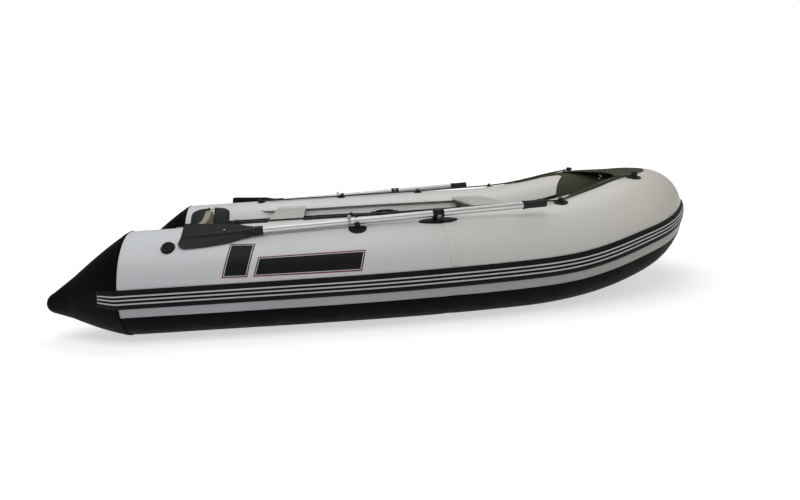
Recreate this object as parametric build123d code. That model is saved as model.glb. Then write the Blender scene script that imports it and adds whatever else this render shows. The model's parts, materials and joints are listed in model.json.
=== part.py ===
from build123d import *
import math
import os

os.makedirs("parts", exist_ok=True)

# An inflatable boat. +X is forward, +Y is to port, +Z is up, in millimetres and degrees. The hull is worked
# out from the stern plane, where the tubes meet their cones, and each piece is moved to the boat's middle
# when it is written. Starboard pieces are modelled and the port ones are their mirror images.

# Buoyancy tube
TUBE_DIAMETER = 460.0
TUBE_SPACING = 1240.0
STRAIGHT_LENGTH = 713.0
BOW_LENGTH = 1930.0
BOW_FULLNESS = 2.572
BOW_RISE = 169.0
BOW_TIP_DIAMETER = 330.0
SEAM_X = 1399.0
CONE_LENGTH = 396.0
CONE_TIP_DIAMETER = 64.0
CONE_TIP_DROP = 71.0

# Where the bow lifts and narrows, by the bow curve's angle
RISE_START = 27.0
RISE_END = 83.0
TAPER_START = 52.0
TAPER_END = 79.0

# Rub rail, by angles below the tube's widest line
RAIL_THICKNESS = 10.0
RAIL_TOP_ANGLE = -3.8
RAIL_BOTTOM_ANGLE = 16.7
RAIL_BOW_TURN = -11.1
TOW_EYE_ANGLE = -32.0
TOW_PATCH_DIAMETER = 70.0
TOW_PATCH_THICKNESS = 4.0
TOW_EYE_BORE = 16.0
TOW_EYE_WALL = 8.0
TOW_EYE_WIDTH = 12.0

# Bottom and floor
BOTTOM_THICKNESS = 8.0
BOTTOM_SEAT_ANGLE = 60.0
KEEL_WIDTH = 70.0
KEEL_THICKNESS = 5.0
KEEL_END_X = 1650.0
FLOOR_UNDERSIDE = 110.0
FLOOR_THICKNESS = 12.0
FLOOR_END_X = 2150.0
FLOOR_PANELS = 4
PROFILE_WIDTH = 36.0
PROFILE_THICKNESS = 3.0
STRINGER_WIDTH = 42.0
STRINGER_THICKNESS = 4.0
STRINGER_GAP = 1.0
STRINGER_END_X = 1180.0

# Transom
TRANSOM_X = 150.0
TRANSOM_THICKNESS = 36.0
TRANSOM_TOP = 440.0
TRANSOM_TOP_WIDTH = 720.0
TRANSOM_SHOULDER_WIDTH = 900.0
TRANSOM_SHOULDER_DROP = 60.0
MOTOR_PAD_WIDTH = 320.0
MOTOR_PAD_HEIGHT = 230.0
MOTOR_PAD_THICKNESS = 10.0
INNER_PAD_WIDTH = 280.0
INNER_PAD_HEIGHT = 150.0
INNER_PAD_THICKNESS = 6.0
PAD_TOP_MARGIN = 12.0
HOLDER_LENGTH = 250.0
HOLDER_HEIGHT = 256.0
HOLDER_THICKNESS = 14.0
HOLDER_Z = 330.0
DRAIN_Y = -260.0
DRAIN_Z = 150.0
DRAIN_DIAMETER = 44.0
DRAIN_THICKNESS = 12.0

# Benches and their rails
BENCH_WIDTH = 180.0
BENCH_THICKNESS = 18.0
REAR_BENCH_X = 685.0
FRONT_BENCH_X = 1777.0
BENCH_SIDE_GAP = 6.0
BENCH_RAIL_SHARE = 0.79
BENCH_RAIL_THICKNESS = 5.0
BENCH_RAIL_WIDTH = 41.0
BENCH_RAIL_START_X = 480.0
BENCH_RAIL_END_X = 1960.0

# Bow deck, measured back from where the tube's axis crosses the middle of the bow
DECK_SIDE_BACK = 243.0
DECK_MIDDLE_BACK = 223.0
DECK_FRONT_BACK = 43.0
DECK_MOUTH_REACH = 720.0
DECK_THICKNESS = 6.0
DECK_CROWN = 12.0
DECK_EDGE_INSET = 45.0

# Valves, handles and rope eyes; the eyes too are measured back from the bow
VALVE_DIAMETER = 58.0
VALVE_THICKNESS = 9.0
VALVE_X = 207.0
VALVE_ANGLE = 47.0
BOW_VALVE_X = 1560.0
BOW_VALVE_ANGLE = 150.0
HANDLE_X = 1270.0
HANDLE_ANGLE = 143.0
HANDLE_LENGTH = 170.0
HANDLE_RISE = 44.0
HANDLE_DIAMETER = 16.0
HANDLE_FOOT = 46.0
HANDLE_FOOT_THICKNESS = 5.0
EYE_STATIONS_BACK = (2163.0, 1633.0, 1128.0, 653.0, 238.0)
EYE_ANGLES = (100.0, 100.0, 97.0, 74.0, 62.0)
EYE_PATCH_DIAMETER = 64.0
EYE_PATCH_THICKNESS = 4.0
EYE_LENGTH = 34.0
EYE_WIDTH = 18.0
EYE_HEIGHT = 20.0
ROPE_DIAMETER = 11.0

# Oars and oarlocks
OARLOCK_X = 1374.0
OARLOCK_ANGLE = 64.5
OARLOCK_BASE_LENGTH = 176.0
OARLOCK_BASE_WIDTH = 96.0
OARLOCK_BASE_THICKNESS = 4.0
OARLOCK_BOSS_DIAMETER = 46.0
OARLOCK_BOSS_HEIGHT = 7.0
SHAFT_HEIGHT = 32.0
SHAFT_DIAMETER = 30.0
SHAFT_AFT = 770.0
SHAFT_FORWARD = 385.0
COLLAR_WALL = 6.0
COLLAR_LENGTH = 48.0
FORK_PLATE = 3.0
FORK_CHEEK = 6.0
FORK_LENGTH = 26.0
PIN_DIAMETER = 9.0
PIN_DEPTH = 4.0
GRIP_DIAMETER = 35.0
GRIP_LENGTH = 100.0
BLADE_LENGTH = 365.0
BLADE_WIDTH = 140.0
BLADE_NECK_WIDTH = 40.0
BLADE_THICKNESS = 8.0
BLADE_ROLL = 26.0
OAR_HEADING = 3.45
OAR_PITCH = 2.3
REST_X = 1022.0
REST_ANGLE = 58.0
REST_LENGTH = 76.0
REST_WIDTH = 60.0
REST_BASE_THICKNESS = 3.0
REST_ARM = 5.0

# Clearances
SKIN_GAP = 0.3
SLIDE_GAP = 0.3
PIN_GAP = 0.3

TUBE_RADIUS = TUBE_DIAMETER / 2
HALF_SPACING = TUBE_SPACING / 2
FLOOR_TOP = FLOOR_UNDERSIDE + FLOOR_THICKNESS
BOW_TIP_X = STRAIGHT_LENGTH + BOW_LENGTH
REACH = BOW_TIP_X + BOW_TIP_DIAMETER / 2 + RAIL_THICKNESS
STERN_X = (CONE_LENGTH - REACH) / 2
DECK_SIDE_X = BOW_TIP_X - DECK_SIDE_BACK
DECK_MOUTH_X = BOW_TIP_X - DECK_MIDDLE_BACK - DECK_MOUTH_REACH
EYE_STATIONS = [BOW_TIP_X - back for back in EYE_STATIONS_BACK]
BENCH_RAIL_HEIGHT = BENCH_RAIL_SHARE * TUBE_RADIUS
COLLAR_DIAMETER = SHAFT_DIAMETER + 2 * COLLAR_WALL
TIP = 90.0
pieces = {}


def turn_at(x):
    """The bow curve's angle at x, from 0 at the end of the straight to 90 at the tip."""
    share = max(0.0, (x - STRAIGHT_LENGTH) / BOW_LENGTH)
    return math.degrees(math.asin(min(1.0, share ** (BOW_FULLNESS / 2))))


def eased(x, start, end):
    """A smooth step from 0 to 1 between two of the bow curve's angles."""
    share = (turn_at(x) - start) / (end - start)
    return (1 - math.cos(math.pi * min(1.0, max(0.0, share)))) / 2


def rise(x):
    """How far the tube's axis has lifted at x."""
    return BOW_RISE * eased(x, RISE_START, RISE_END)


def radius_at(x):
    """The tube's radius where its axis is at x."""
    return TUBE_RADIUS - (TUBE_DIAMETER - BOW_TIP_DIAMETER) / 2 * eased(x, TAPER_START, TAPER_END)


def frame_at(turn, x=None):
    """The tube's cross-section plane: origin on the axis, x outboard, y down, z along the tube."""
    mirrored = turn > TIP
    angle = math.radians(180 - turn if mirrored else turn)
    if angle < 1e-6:
        place = STRAIGHT_LENGTH if x is None else x
        return Plane(origin=(place, -HALF_SPACING, TUBE_RADIUS), x_dir=(0, -1, 0), z_dir=(1, 0, 0))
    power = 2 / BOW_FULLNESS
    place = STRAIGHT_LENGTH + BOW_LENGTH * math.sin(angle) ** power
    dx = BOW_LENGTH * power * math.sin(angle) ** (power - 1) * math.cos(angle)
    dy = HALF_SPACING * math.sin(angle)
    dz = dx * (rise(place + 0.5) - rise(place - 0.5)) if place < BOW_TIP_X - 1 else 0.0
    side = -1 if mirrored else 1
    along = Vector(side * dx, dy, side * dz).normalized()
    outboard = along.cross(Vector(0, 0, 1)).normalized()
    origin = Vector(place, -side * HALF_SPACING * math.cos(angle), TUBE_RADIUS + rise(place))
    return Plane(origin=origin, x_dir=outboard, z_dir=along)


def frame_x(x):
    """The cross-section plane of the starboard tube whose axis is at x."""
    return frame_at(turn_at(x), x)


def on_tube(plane, angle, radius):
    """The point at an angle above the outboard line, in a cross-section plane."""
    a = math.radians(angle)
    return plane.from_local_coords(Vector(radius * math.cos(a), -radius * math.sin(a), 0))


def skin_point(x, angle):
    return on_tube(frame_x(x), angle, radius_at(x))


def skin_plane(x, angle):
    """A plane on the tube's skin: z is the outward normal and x runs forward along the tube."""
    section, foot = frame_x(x), skin_point(x, angle)
    along = skin_point(x + 1, angle) - skin_point(x - 1, angle)
    around = section.z_dir.cross(foot - section.origin)
    return Plane(origin=foot, x_dir=along, z_dir=around.cross(along))


def turns(first, last, count):
    return [first + (last - first) * i / (count - 1) for i in range(count)]


def tube_run(gap, stations):
    sections = [frame_at(turn) for turn in stations]
    return loft([section * Circle(radius_at(section.origin.X) + gap) for section in sections])


def straight_tube(radius, start, end):
    return frame_x(0) * Pos(0, 0, (start + end) / 2) * Cylinder(radius, end - start)


def inner_half(x, height):
    """Half the width between the tubes at x, at a height above their axes."""
    offset = math.sqrt(CLEAR_RADIUS**2 - height**2)
    low, high = x, min(x + TUBE_RADIUS, BOW_TIP_X)
    for _ in range(40):
        middle = (low + high) / 2
        section = frame_x(middle)
        wall = section.origin - section.x_dir * offset
        low, high = (middle, high) if wall.X < x else (low, middle)
    return -wall.Y


def block(x, y, z):
    """A box between two values along each axis."""
    box = Box(x[1] - x[0], y[1] - y[0], z[1] - z[0])
    return Pos((x[0] + x[1]) / 2, (y[0] + y[1]) / 2, (z[0] + z[1]) / 2) * box


def cleared(shape, *cutters):
    """What is left of a shape clear of the tubes: its largest solid."""
    for cutter in cutters or (CLEAR_STARBOARD, CLEAR_PORT, CLEAR_BOW):
        shape = shape - cutter
    return max(shape.solids(), key=lambda solid: solid.volume)


def patch(plane, diameter_x, diameter_y, thickness, *cutters):
    """A pad glued to the tube: an ellipse seen square on, with its underside on the skin."""
    depth = TUBE_RADIUS / 4
    column = extrude(plane * Pos(0, 0, -depth) * Ellipse(diameter_x / 2, diameter_y / 2), amount=2 * depth)
    ring = plane * Pos(0, 0, -TUBE_RADIUS) * Rotation(0, 90, 0) * Cylinder(
        TUBE_RADIUS + thickness, 2 * diameter_x
    )
    return cleared(column & ring, *cutters)


def both(name, shape):
    pieces["starboard_" + name] = shape
    pieces["port_" + name] = mirror(shape, Plane.XZ)


SEAM_TURN = turn_at(SEAM_X)
SIDE_TURNS = turns(0, SEAM_TURN, 7)
BOW_TURNS = turns(SEAM_TURN, RISE_START, 5) + turns(RISE_START, TIP, 13)[1:]
CLEAR_RADIUS = TUBE_RADIUS + SKIN_GAP


def clearance():
    """The whole tube with its skin gap, which pieces that lie on it are cut by."""
    side = straight_tube(CLEAR_RADIUS, -1.0, STRAIGHT_LENGTH) + tube_run(SKIN_GAP, SIDE_TURNS)
    bow = tube_run(SKIN_GAP, BOW_TURNS)
    return side, mirror(side, Plane.XZ), bow + mirror(bow, Plane.XZ)


CLEAR_STARBOARD, CLEAR_PORT, CLEAR_BOW = clearance()


def tubes():
    both("tube", straight_tube(TUBE_RADIUS, 0, STRAIGHT_LENGTH) + tube_run(0, SIDE_TURNS))
    bow = tube_run(0, BOW_TURNS)
    pieces["bow_tube"] = bow + mirror(bow, Plane.XZ)
    tip_radius = CONE_TIP_DIAMETER / 2
    root = frame_x(0) * Circle(TUBE_RADIUS)
    tip = frame_x(0) * Pos(0, CONE_TIP_DROP, tip_radius - CONE_LENGTH) * Circle(tip_radius)
    ball_radius = tip_radius - SKIN_GAP
    ball = frame_x(0) * Pos(0, CONE_TIP_DROP, ball_radius - CONE_LENGTH) * Sphere(ball_radius)
    both("stern_cone", loft([root, tip]) + ball)


def rail_profile(turn):
    """A curved strip outside the tube, which creeps up the bow."""
    section = frame_at(turn)
    shift = RAIL_BOW_TURN * eased(section.origin.X, 0, RISE_END)
    low, high = RAIL_BOTTOM_ANGLE + shift, RAIL_TOP_ANGLE + shift
    tube = radius_at(section.origin.X)
    inner, outer = tube + SKIN_GAP, tube + RAIL_THICKNESS

    def spot(radius, angle):
        return (radius * math.cos(math.radians(angle)), radius * math.sin(math.radians(angle)))

    middle = (low + high) / 2
    edges = [
        ThreePointArc(spot(outer, high), spot(outer, middle), spot(outer, low)),
        Line(spot(outer, low), spot(inner, low)),
        ThreePointArc(spot(inner, low), spot(inner, middle), spot(inner, high)),
        Line(spot(inner, high), spot(outer, high)),
    ]
    return section * make_face(edges)


def rub_rails():
    straight = extrude(rail_profile(0), STRAIGHT_LENGTH, dir=(-1, 0, 0))
    side = loft([rail_profile(turn) for turn in SIDE_TURNS])
    bow = cleared(loft([rail_profile(turn) for turn in BOW_TURNS]), CLEAR_BOW)
    both("rub_rail", straight + side + bow)


def bottom_line(section):
    """Where the bottom's fabric meets a tube, a little inside the tube, and how high its keel is."""
    tube = radius_at(section.origin.X)
    seat = on_tube(section, 180 + BOTTOM_SEAT_ANGLE, tube - 2 * BOTTOM_THICKNESS)
    lift = section.origin.Z - TUBE_RADIUS
    return seat, KEEL_THICKNESS + lift


def bottom_section(section):
    seat, keel = bottom_line(section)
    half, flat, top = -seat.Y, KEEL_WIDTH / 2, BOTTOM_THICKNESS
    lower = [(-half, seat.Z), (-flat, keel), (flat, keel), (half, seat.Z)]
    upper = [(y, z + top) for y, z in reversed(lower)]
    return Plane(origin=(seat.X, 0, 0), x_dir=(0, 1, 0), z_dir=(1, 0, 0)) * Polygon(*lower, *upper, align=None)


def bottom():
    sections = [frame_x(x) for x in (TRANSOM_X, STRAIGHT_LENGTH)]
    sections += [frame_at(turn) for turn in turns(8, 80, 9)]
    shell = loft([bottom_section(section) for section in sections], ruled=True)
    pieces["hull_bottom"] = cleared(shell)
    half = KEEL_WIDTH / 2
    pieces["keel_strip"] = block((TRANSOM_X, KEEL_END_X), (-half, half), (0, KEEL_THICKNESS))


def floor():
    start = TRANSOM_X + TRANSOM_THICKNESS + SKIN_GAP
    length = (FLOOR_END_X - start) / FLOOR_PANELS
    wide = HALF_SPACING - TUBE_RADIUS / 2
    seams = [start + length * i for i in range(FLOOR_PANELS + 1)]
    for i in range(FLOOR_PANELS):
        slab = block((seams[i], seams[i + 1]), (-wide, wide), (FLOOR_UNDERSIDE, FLOOR_TOP))
        pieces[f"floor_panel_{i + 1}"] = cleared(slab)
    half = PROFILE_WIDTH / 2
    outer = inner_half(STRINGER_END_X, FLOOR_TOP + STRINGER_THICKNESS - TUBE_RADIUS) - STRINGER_GAP
    inner = outer - STRINGER_WIDTH
    reach = [min(inner, inner_half(x + half, FLOOR_UNDERSIDE - TUBE_RADIUS - rise(x)) - half) for x in seams[1:-1]]
    strips = [
        block((x - half, x + half), (-y, y), (FLOOR_TOP, FLOOR_TOP + PROFILE_THICKNESS))
        for x, y in zip(seams[1:-1], reach)
    ]
    pieces["floor_joint_profiles"] = Compound(strips)
    along = (start + PROFILE_WIDTH, STRINGER_END_X)
    both("floor_stringer", block(along, (-outer, -inner), (FLOOR_TOP, FLOOR_TOP + STRINGER_THICKNESS)))


def transom():
    seat, keel = bottom_line(frame_x(TRANSOM_X))
    lift = BOTTOM_THICKNESS + SKIN_GAP
    half, flat = -seat.Y, KEEL_WIDTH / 2
    low = [(-half, seat.Z + lift), (-flat, keel + lift), (flat, keel + lift), (half, seat.Z + lift)]
    shoulder = TRANSOM_TOP - TRANSOM_SHOULDER_DROP
    widths = (TRANSOM_SHOULDER_WIDTH / 2, TRANSOM_TOP_WIDTH / 2)
    high = [(widths[0], shoulder), (widths[1], TRANSOM_TOP), (-widths[1], TRANSOM_TOP), (-widths[0], shoulder)]
    outline = Plane(origin=(TRANSOM_X, 0, 0), x_dir=(0, 1, 0), z_dir=(1, 0, 0)) * Polygon(*low, *high, align=None)
    pieces["transom_board"] = cleared(extrude(outline, TRANSOM_THICKNESS, dir=(1, 0, 0)), CLEAR_STARBOARD, CLEAR_PORT)
    top = TRANSOM_TOP - PAD_TOP_MARGIN
    pads = {
        "outer_motor_pad": (TRANSOM_X - MOTOR_PAD_THICKNESS, TRANSOM_X, MOTOR_PAD_WIDTH, MOTOR_PAD_HEIGHT),
        "inner_motor_pad": (
            TRANSOM_X + TRANSOM_THICKNESS,
            TRANSOM_X + TRANSOM_THICKNESS + INNER_PAD_THICKNESS,
            INNER_PAD_WIDTH,
            INNER_PAD_HEIGHT,
        ),
    }
    for name, (aft, fore, width, height) in pads.items():
        pieces[name] = block((aft, fore), (-width / 2, width / 2), (top - height, top))
    plug = Rotation(0, 90, 0) * Cylinder(DRAIN_DIAMETER / 2, DRAIN_THICKNESS)
    pieces["drain_plug"] = Pos(TRANSOM_X - DRAIN_THICKNESS / 2, DRAIN_Y, DRAIN_Z) * plug


def transom_holders():
    """Moulded grips glued to the tubes, one before the board and one behind it."""
    middle = TRANSOM_X + TRANSOM_THICKNESS / 2
    side = Plane(origin=(middle, -HALF_SPACING, HOLDER_Z), x_dir=(1, 0, 0), z_dir=(0, 1, 0))
    column = extrude(side * Ellipse(HOLDER_LENGTH / 2, HOLDER_HEIGHT / 2), amount=HALF_SPACING)
    ring = straight_tube(TUBE_RADIUS + HOLDER_THICKNESS, 0, STRAIGHT_LENGTH) - CLEAR_STARBOARD
    board = block((TRANSOM_X, TRANSOM_X + TRANSOM_THICKNESS), (-TUBE_SPACING, 0), (0, TUBE_SPACING))
    both("transom_holder", Compound(((column & ring) - board).solids()))


def bench(name, x, height):
    front, aft = x + BENCH_WIDTH / 2, x - BENCH_WIDTH / 2
    half = inner_half(front, height - TUBE_RADIUS - rise(front)) - BENCH_SIDE_GAP
    pieces[name] = block((aft, front), (-half, half), (height, height + BENCH_THICKNESS))


def rail_wall(height):
    return -math.sqrt((CLEAR_RADIUS + SKIN_GAP) ** 2 - height**2)


def bench_rail_profile(section):
    low = BENCH_RAIL_HEIGHT - BENCH_RAIL_THICKNESS
    wall = rail_wall(BENCH_RAIL_HEIGHT)
    points = [
        (wall - BENCH_RAIL_WIDTH, -BENCH_RAIL_HEIGHT),
        (wall, -BENCH_RAIL_HEIGHT),
        (rail_wall(low), -low),
        (wall - BENCH_RAIL_WIDTH, -low),
    ]
    return section * Polygon(*points, align=None)


def benches():
    ledge = TUBE_RADIUS + BENCH_RAIL_HEIGHT
    bench("rear_bench", REAR_BENCH_X, ledge + SLIDE_GAP)
    front = FRONT_BENCH_X + BENCH_WIDTH / 2
    bench("front_bench", FRONT_BENCH_X, ledge + SLIDE_GAP + rise(front + TUBE_RADIUS / 5))
    end = bench_rail_profile(frame_x(STRAIGHT_LENGTH))
    straight = extrude(end, STRAIGHT_LENGTH - BENCH_RAIL_START_X, dir=(-1, 0, 0))
    side = loft([bench_rail_profile(frame_at(turn)) for turn in SIDE_TURNS])
    fore = turns(SEAM_TURN, turn_at(BENCH_RAIL_END_X), 5)
    both("bench_rail", straight + side + loft([bench_rail_profile(frame_at(turn)) for turn in fore]))


def deck_section(x):
    half = -frame_x(x).origin.Y - DECK_EDGE_INSET
    crest = math.sqrt((radius_at(x) + SKIN_GAP) ** 2 - DECK_EDGE_INSET**2)
    edge = TUBE_RADIUS + rise(x) + crest + SKIN_GAP
    crown = edge + DECK_CROWN * half / HALF_SPACING
    top = DECK_THICKNESS
    outline = [
        ThreePointArc((-half, edge), (0, crown), (half, edge)),
        Line((half, edge), (half, edge + top)),
        ThreePointArc((half, edge + top), (0, crown + top), (-half, edge + top)),
        Line((-half, edge + top), (-half, edge)),
    ]
    return Plane(origin=(x, 0, 0), x_dir=(0, 1, 0), z_dir=(1, 0, 0)) * make_face(outline)


def deck():
    stations = [DECK_SIDE_X + (DECK_SIDE_BACK - DECK_FRONT_BACK) * i / 6 for i in range(7)]
    sheet = loft([deck_section(x) for x in stations])
    side = -frame_x(DECK_SIDE_X).origin.Y - DECK_EDGE_INSET
    half = side / math.sqrt(1 - ((DECK_SIDE_X - DECK_MOUTH_X) / DECK_MOUTH_REACH) ** 2)
    opening = extrude(Pos(DECK_MOUTH_X, 0, 0) * Ellipse(DECK_MOUTH_REACH, half), 2 * TUBE_SPACING, dir=(0, 0, 1))
    pieces["bow_deck"] = cleared(sheet - opening, CLEAR_BOW)


def valve(plane, cutter):
    return cleared(plane * Cylinder(VALVE_DIAMETER / 2, 2 * VALVE_THICKNESS), cutter)


def valves():
    both("valve", valve(skin_plane(VALVE_X, VALVE_ANGLE), CLEAR_STARBOARD))
    pieces["bow_valve"] = valve(skin_plane(BOW_VALVE_X, BOW_VALVE_ANGLE), CLEAR_BOW)


def handles():
    plane = skin_plane(HANDLE_X, HANDLE_ANGLE)
    foot = (HANDLE_LENGTH - HANDLE_FOOT) / 2
    grip = HANDLE_RISE - HANDLE_DIAMETER / 2
    line = ThreePointArc((-foot, 0, 0), (0, 0, grip), (foot, 0, 0))
    bar = sweep(Plane(origin=line @ 0, z_dir=line % 0) * Circle(HANDLE_DIAMETER / 2), path=line)
    feet = [Pos(x, 0, 0) * Cylinder(HANDLE_FOOT / 2, 2 * HANDLE_FOOT_THICKNESS) for x in (-foot, foot)]
    both("handle", cleared(plane * (bar + feet[0] + feet[1]), CLEAR_STARBOARD))


def eye_frame(foot):
    """The middle of a rope eye's hole, with x along the tube."""
    return Plane(foot * Pos(0, 0, EYE_PATCH_THICKNESS + EYE_HEIGHT / 2))


def eye_mouth(eye, towards):
    """Where a rope that is pulled towards a point stops at the eye's end, square to its own run."""
    pull = (towards - eye.origin).normalized()
    side = 1 if pull.dot(eye.x_dir) > 0 else -1
    tilt = math.sqrt(max(0.0, 1 - pull.dot(eye.x_dir) ** 2))
    return eye.origin + eye.x_dir * side * (EYE_LENGTH / 2 + SKIN_GAP + tilt * ROPE_DIAMETER / 2)


def ropes():
    """Eyes along the top of the tube, and the lifeline's taut runs between them."""
    eyes, runs = [], []
    feet = [skin_plane(x, angle) for x, angle in zip(EYE_STATIONS, EYE_ANGLES)]
    frames = [eye_frame(foot) for foot in feet]
    for x, foot, eye in zip(EYE_STATIONS, feet, frames):
        cutter = CLEAR_STARBOARD if x < SEAM_X else CLEAR_BOW
        disc = Cylinder(EYE_PATCH_DIAMETER / 2, 2 * EYE_PATCH_THICKNESS)
        loop = Box(EYE_LENGTH, EYE_WIDTH, EYE_HEIGHT)
        eyes.append(cleared(foot * disc + eye * loop, cutter))
    for aft, fore in zip(frames, frames[1:]):
        start, end = eye_mouth(aft, fore.origin), eye_mouth(fore, aft.origin)
        circle = Plane(origin=start, z_dir=end - start) * Circle(ROPE_DIAMETER / 2)
        runs.append(extrude(circle, (end - start).length, dir=(end - start).normalized()))
    both("rope_eyes", Compound(eyes))
    both("lifeline", Compound(runs))


def tow_eye():
    section = frame_at(TIP)
    foot = on_tube(section, TOW_EYE_ANGLE, BOW_TIP_DIAMETER / 2)
    plane = Plane(origin=foot, x_dir=section.z_dir, z_dir=foot - section.origin)
    disc = Cylinder(TOW_PATCH_DIAMETER / 2, 2 * TOW_PATCH_THICKNESS)
    outer = TOW_EYE_BORE / 2 + TOW_EYE_WALL
    ring = Pos(0, 0, TOW_PATCH_THICKNESS + outer - 1) * Rotation(0, 90, 0) * (
        Cylinder(outer, TOW_EYE_WIDTH) - Cylinder(TOW_EYE_BORE / 2, TOW_EYE_WIDTH)
    )
    pieces["tow_eye"] = cleared(plane * (disc + ring), CLEAR_BOW)


OARLOCK = skin_plane(OARLOCK_X, OARLOCK_ANGLE)
TUBE_HEADING = math.degrees(math.atan2(OARLOCK.x_dir.Y, OARLOCK.x_dir.X))
TOE_OUT = (TUBE_HEADING - OAR_HEADING) / math.sin(math.radians(OARLOCK_ANGLE))
FORK = Plane(OARLOCK * Pos(0, 0, SHAFT_HEIGHT) * Rotation(0, 0, -TOE_OUT))
OAR = Plane(FORK * Rotation(0, -OAR_PITCH, 0))


def rod(radius, start, end):
    """A round bar along x."""
    return Pos((start + end) / 2, 0, 0) * Rotation(0, 90, 0) * Cylinder(radius, end - start)


def oarlock():
    size = (OARLOCK_BASE_LENGTH, OARLOCK_BASE_WIDTH, OARLOCK_BASE_THICKNESS)
    base = patch(OARLOCK, *size, CLEAR_STARBOARD, CLEAR_BOW)
    boss = OARLOCK * Cylinder(OARLOCK_BOSS_DIAMETER / 2, 2 * OARLOCK_BOSS_HEIGHT)
    plate_low = OARLOCK_BOSS_HEIGHT + SLIDE_GAP
    plate_top = plate_low + FORK_PLATE
    pin = OARLOCK * Pos(0, 0, plate_top / 2) * Cylinder(PIN_DIAMETER / 2, plate_top)
    both("oarlock_base", cleared(base + boss + pin, CLEAR_STARBOARD, CLEAR_BOW))
    inner = COLLAR_DIAMETER / 2 + 2 * PIN_GAP
    outer = inner + FORK_CHEEK
    half = FORK_LENGTH / 2
    low, high = plate_low - SHAFT_HEIGHT, plate_top - SHAFT_HEIGHT
    fork = block((-half, half), (-outer, outer), (low, high))
    fork -= Pos(0, 0, (low + high) / 2) * Cylinder(PIN_DIAMETER / 2 + PIN_GAP, 2 * FORK_PLATE)
    for side in (-1, 1):
        faces = sorted((side * inner, side * outer))
        fork += block((-half, half), faces, (low, PIN_DIAMETER))
        stub = Pos(0, side * (inner - PIN_DEPTH / 2), 0) * Rotation(90, 0, 0)
        fork += stub * Cylinder(PIN_DIAMETER / 2, PIN_DEPTH + 2 * PIN_GAP)
    both("oarlock_fork", FORK * fork)


def oar():
    radius = SHAFT_DIAMETER / 2
    both("oar_shaft", OAR * rod(radius, -SHAFT_AFT, SHAFT_FORWARD))
    both("oar_grip", OAR * rod(GRIP_DIAMETER / 2, SHAFT_FORWARD, SHAFT_FORWARD + GRIP_LENGTH))
    half = COLLAR_LENGTH / 2
    collar = rod(COLLAR_DIAMETER / 2, -half, half) - rod(radius + PIN_GAP / 2, -COLLAR_LENGTH, COLLAR_LENGTH)
    hole = Rotation(90, 0, 0) * Cylinder(PIN_DIAMETER / 2 + PIN_GAP, 2 * COLLAR_DIAMETER)
    core = rod(COLLAR_DIAMETER / 2 - PIN_DEPTH - PIN_GAP, -half, half)
    both("oar_collar", OAR * (collar - (hole - core)))
    root, end = -SHAFT_AFT, -SHAFT_AFT - BLADE_LENGTH
    neck, wide = BLADE_NECK_WIDTH / 2, BLADE_WIDTH / 2
    outline = Polygon(
        (root, -neck),
        (root, neck),
        (root - BLADE_LENGTH / 3, wide * 0.9),
        (end + wide / 4, wide),
        (end, wide * 0.8),
        (end, -wide * 0.8),
        (end + wide / 4, -wide),
        (root - BLADE_LENGTH / 3, -wide * 0.9),
        align=None,
    )
    plate = extrude(Pos(0, 0, -BLADE_THICKNESS / 2) * outline, amount=BLADE_THICKNESS)
    blade = plate + rod(neck * 0.85, root - BLADE_LENGTH / 6, root)
    both("oar_blade", OAR * Rotation(BLADE_ROLL, 0, 0) * blade)


def oar_rest():
    plane = skin_plane(REST_X, REST_ANGLE)
    base = patch(plane, REST_LENGTH, REST_WIDTH, REST_BASE_THICKNESS, CLEAR_STARBOARD)
    share = (REST_X - OAR.origin.X) / OAR.x_dir.X
    beside = plane.to_local_coords(OAR.origin + OAR.x_dir * share)
    inner = beside.Y + SHAFT_DIAMETER / 2 + 2.0
    arm = block((-REST_ARM * 1.5, REST_ARM * 1.5), (inner, inner + REST_ARM), (0, beside.Z + SHAFT_DIAMETER / 4))
    both("oar_rest", cleared(base + plane * arm, CLEAR_STARBOARD))


for build in (
    tubes,
    rub_rails,
    bottom,
    floor,
    transom,
    transom_holders,
    benches,
    deck,
    valves,
    handles,
    ropes,
    tow_eye,
    oarlock,
    oar,
    oar_rest,
):
    build()

for name, shape in pieces.items():
    export_step(Pos(STERN_X, 0, 0) * shape, "parts/" + name + ".step")
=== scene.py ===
import json
import math

import bmesh
import bpy
import numpy as np
from mathutils import Matrix, Vector


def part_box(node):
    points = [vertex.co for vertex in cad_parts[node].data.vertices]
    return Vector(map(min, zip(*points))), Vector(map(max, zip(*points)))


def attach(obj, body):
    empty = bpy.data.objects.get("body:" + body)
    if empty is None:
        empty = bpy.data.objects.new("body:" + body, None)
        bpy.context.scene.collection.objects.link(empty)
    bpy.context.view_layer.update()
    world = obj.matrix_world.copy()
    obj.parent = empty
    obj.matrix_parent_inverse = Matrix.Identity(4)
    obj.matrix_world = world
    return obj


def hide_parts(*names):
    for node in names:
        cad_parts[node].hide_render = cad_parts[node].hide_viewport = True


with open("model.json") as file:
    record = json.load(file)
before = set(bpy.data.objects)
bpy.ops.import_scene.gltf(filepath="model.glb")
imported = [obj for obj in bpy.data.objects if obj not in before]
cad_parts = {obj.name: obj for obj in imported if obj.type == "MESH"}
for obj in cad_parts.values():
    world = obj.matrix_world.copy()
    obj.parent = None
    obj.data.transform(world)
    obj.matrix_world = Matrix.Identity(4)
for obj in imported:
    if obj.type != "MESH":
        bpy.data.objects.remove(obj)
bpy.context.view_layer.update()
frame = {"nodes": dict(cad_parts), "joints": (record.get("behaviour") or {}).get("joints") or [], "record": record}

# The hull's tube, in metres and degrees. Runs go along its axis from the stern plane to the nose and on round the
# port side, and angles go up from its outboard line, over its crest (90) to its inboard line (180).
STERN_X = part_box("starboard_tube")[0].x
RADIUS, HALF_SPACING = 0.230, 0.620
STRAIGHT, BOW, POWER = 0.713, 1.930, 2 / 2.572  # the straight's length, and the superellipse round the bow
RISE, RISE_TURNS = 0.169, (27, 83)
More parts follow.
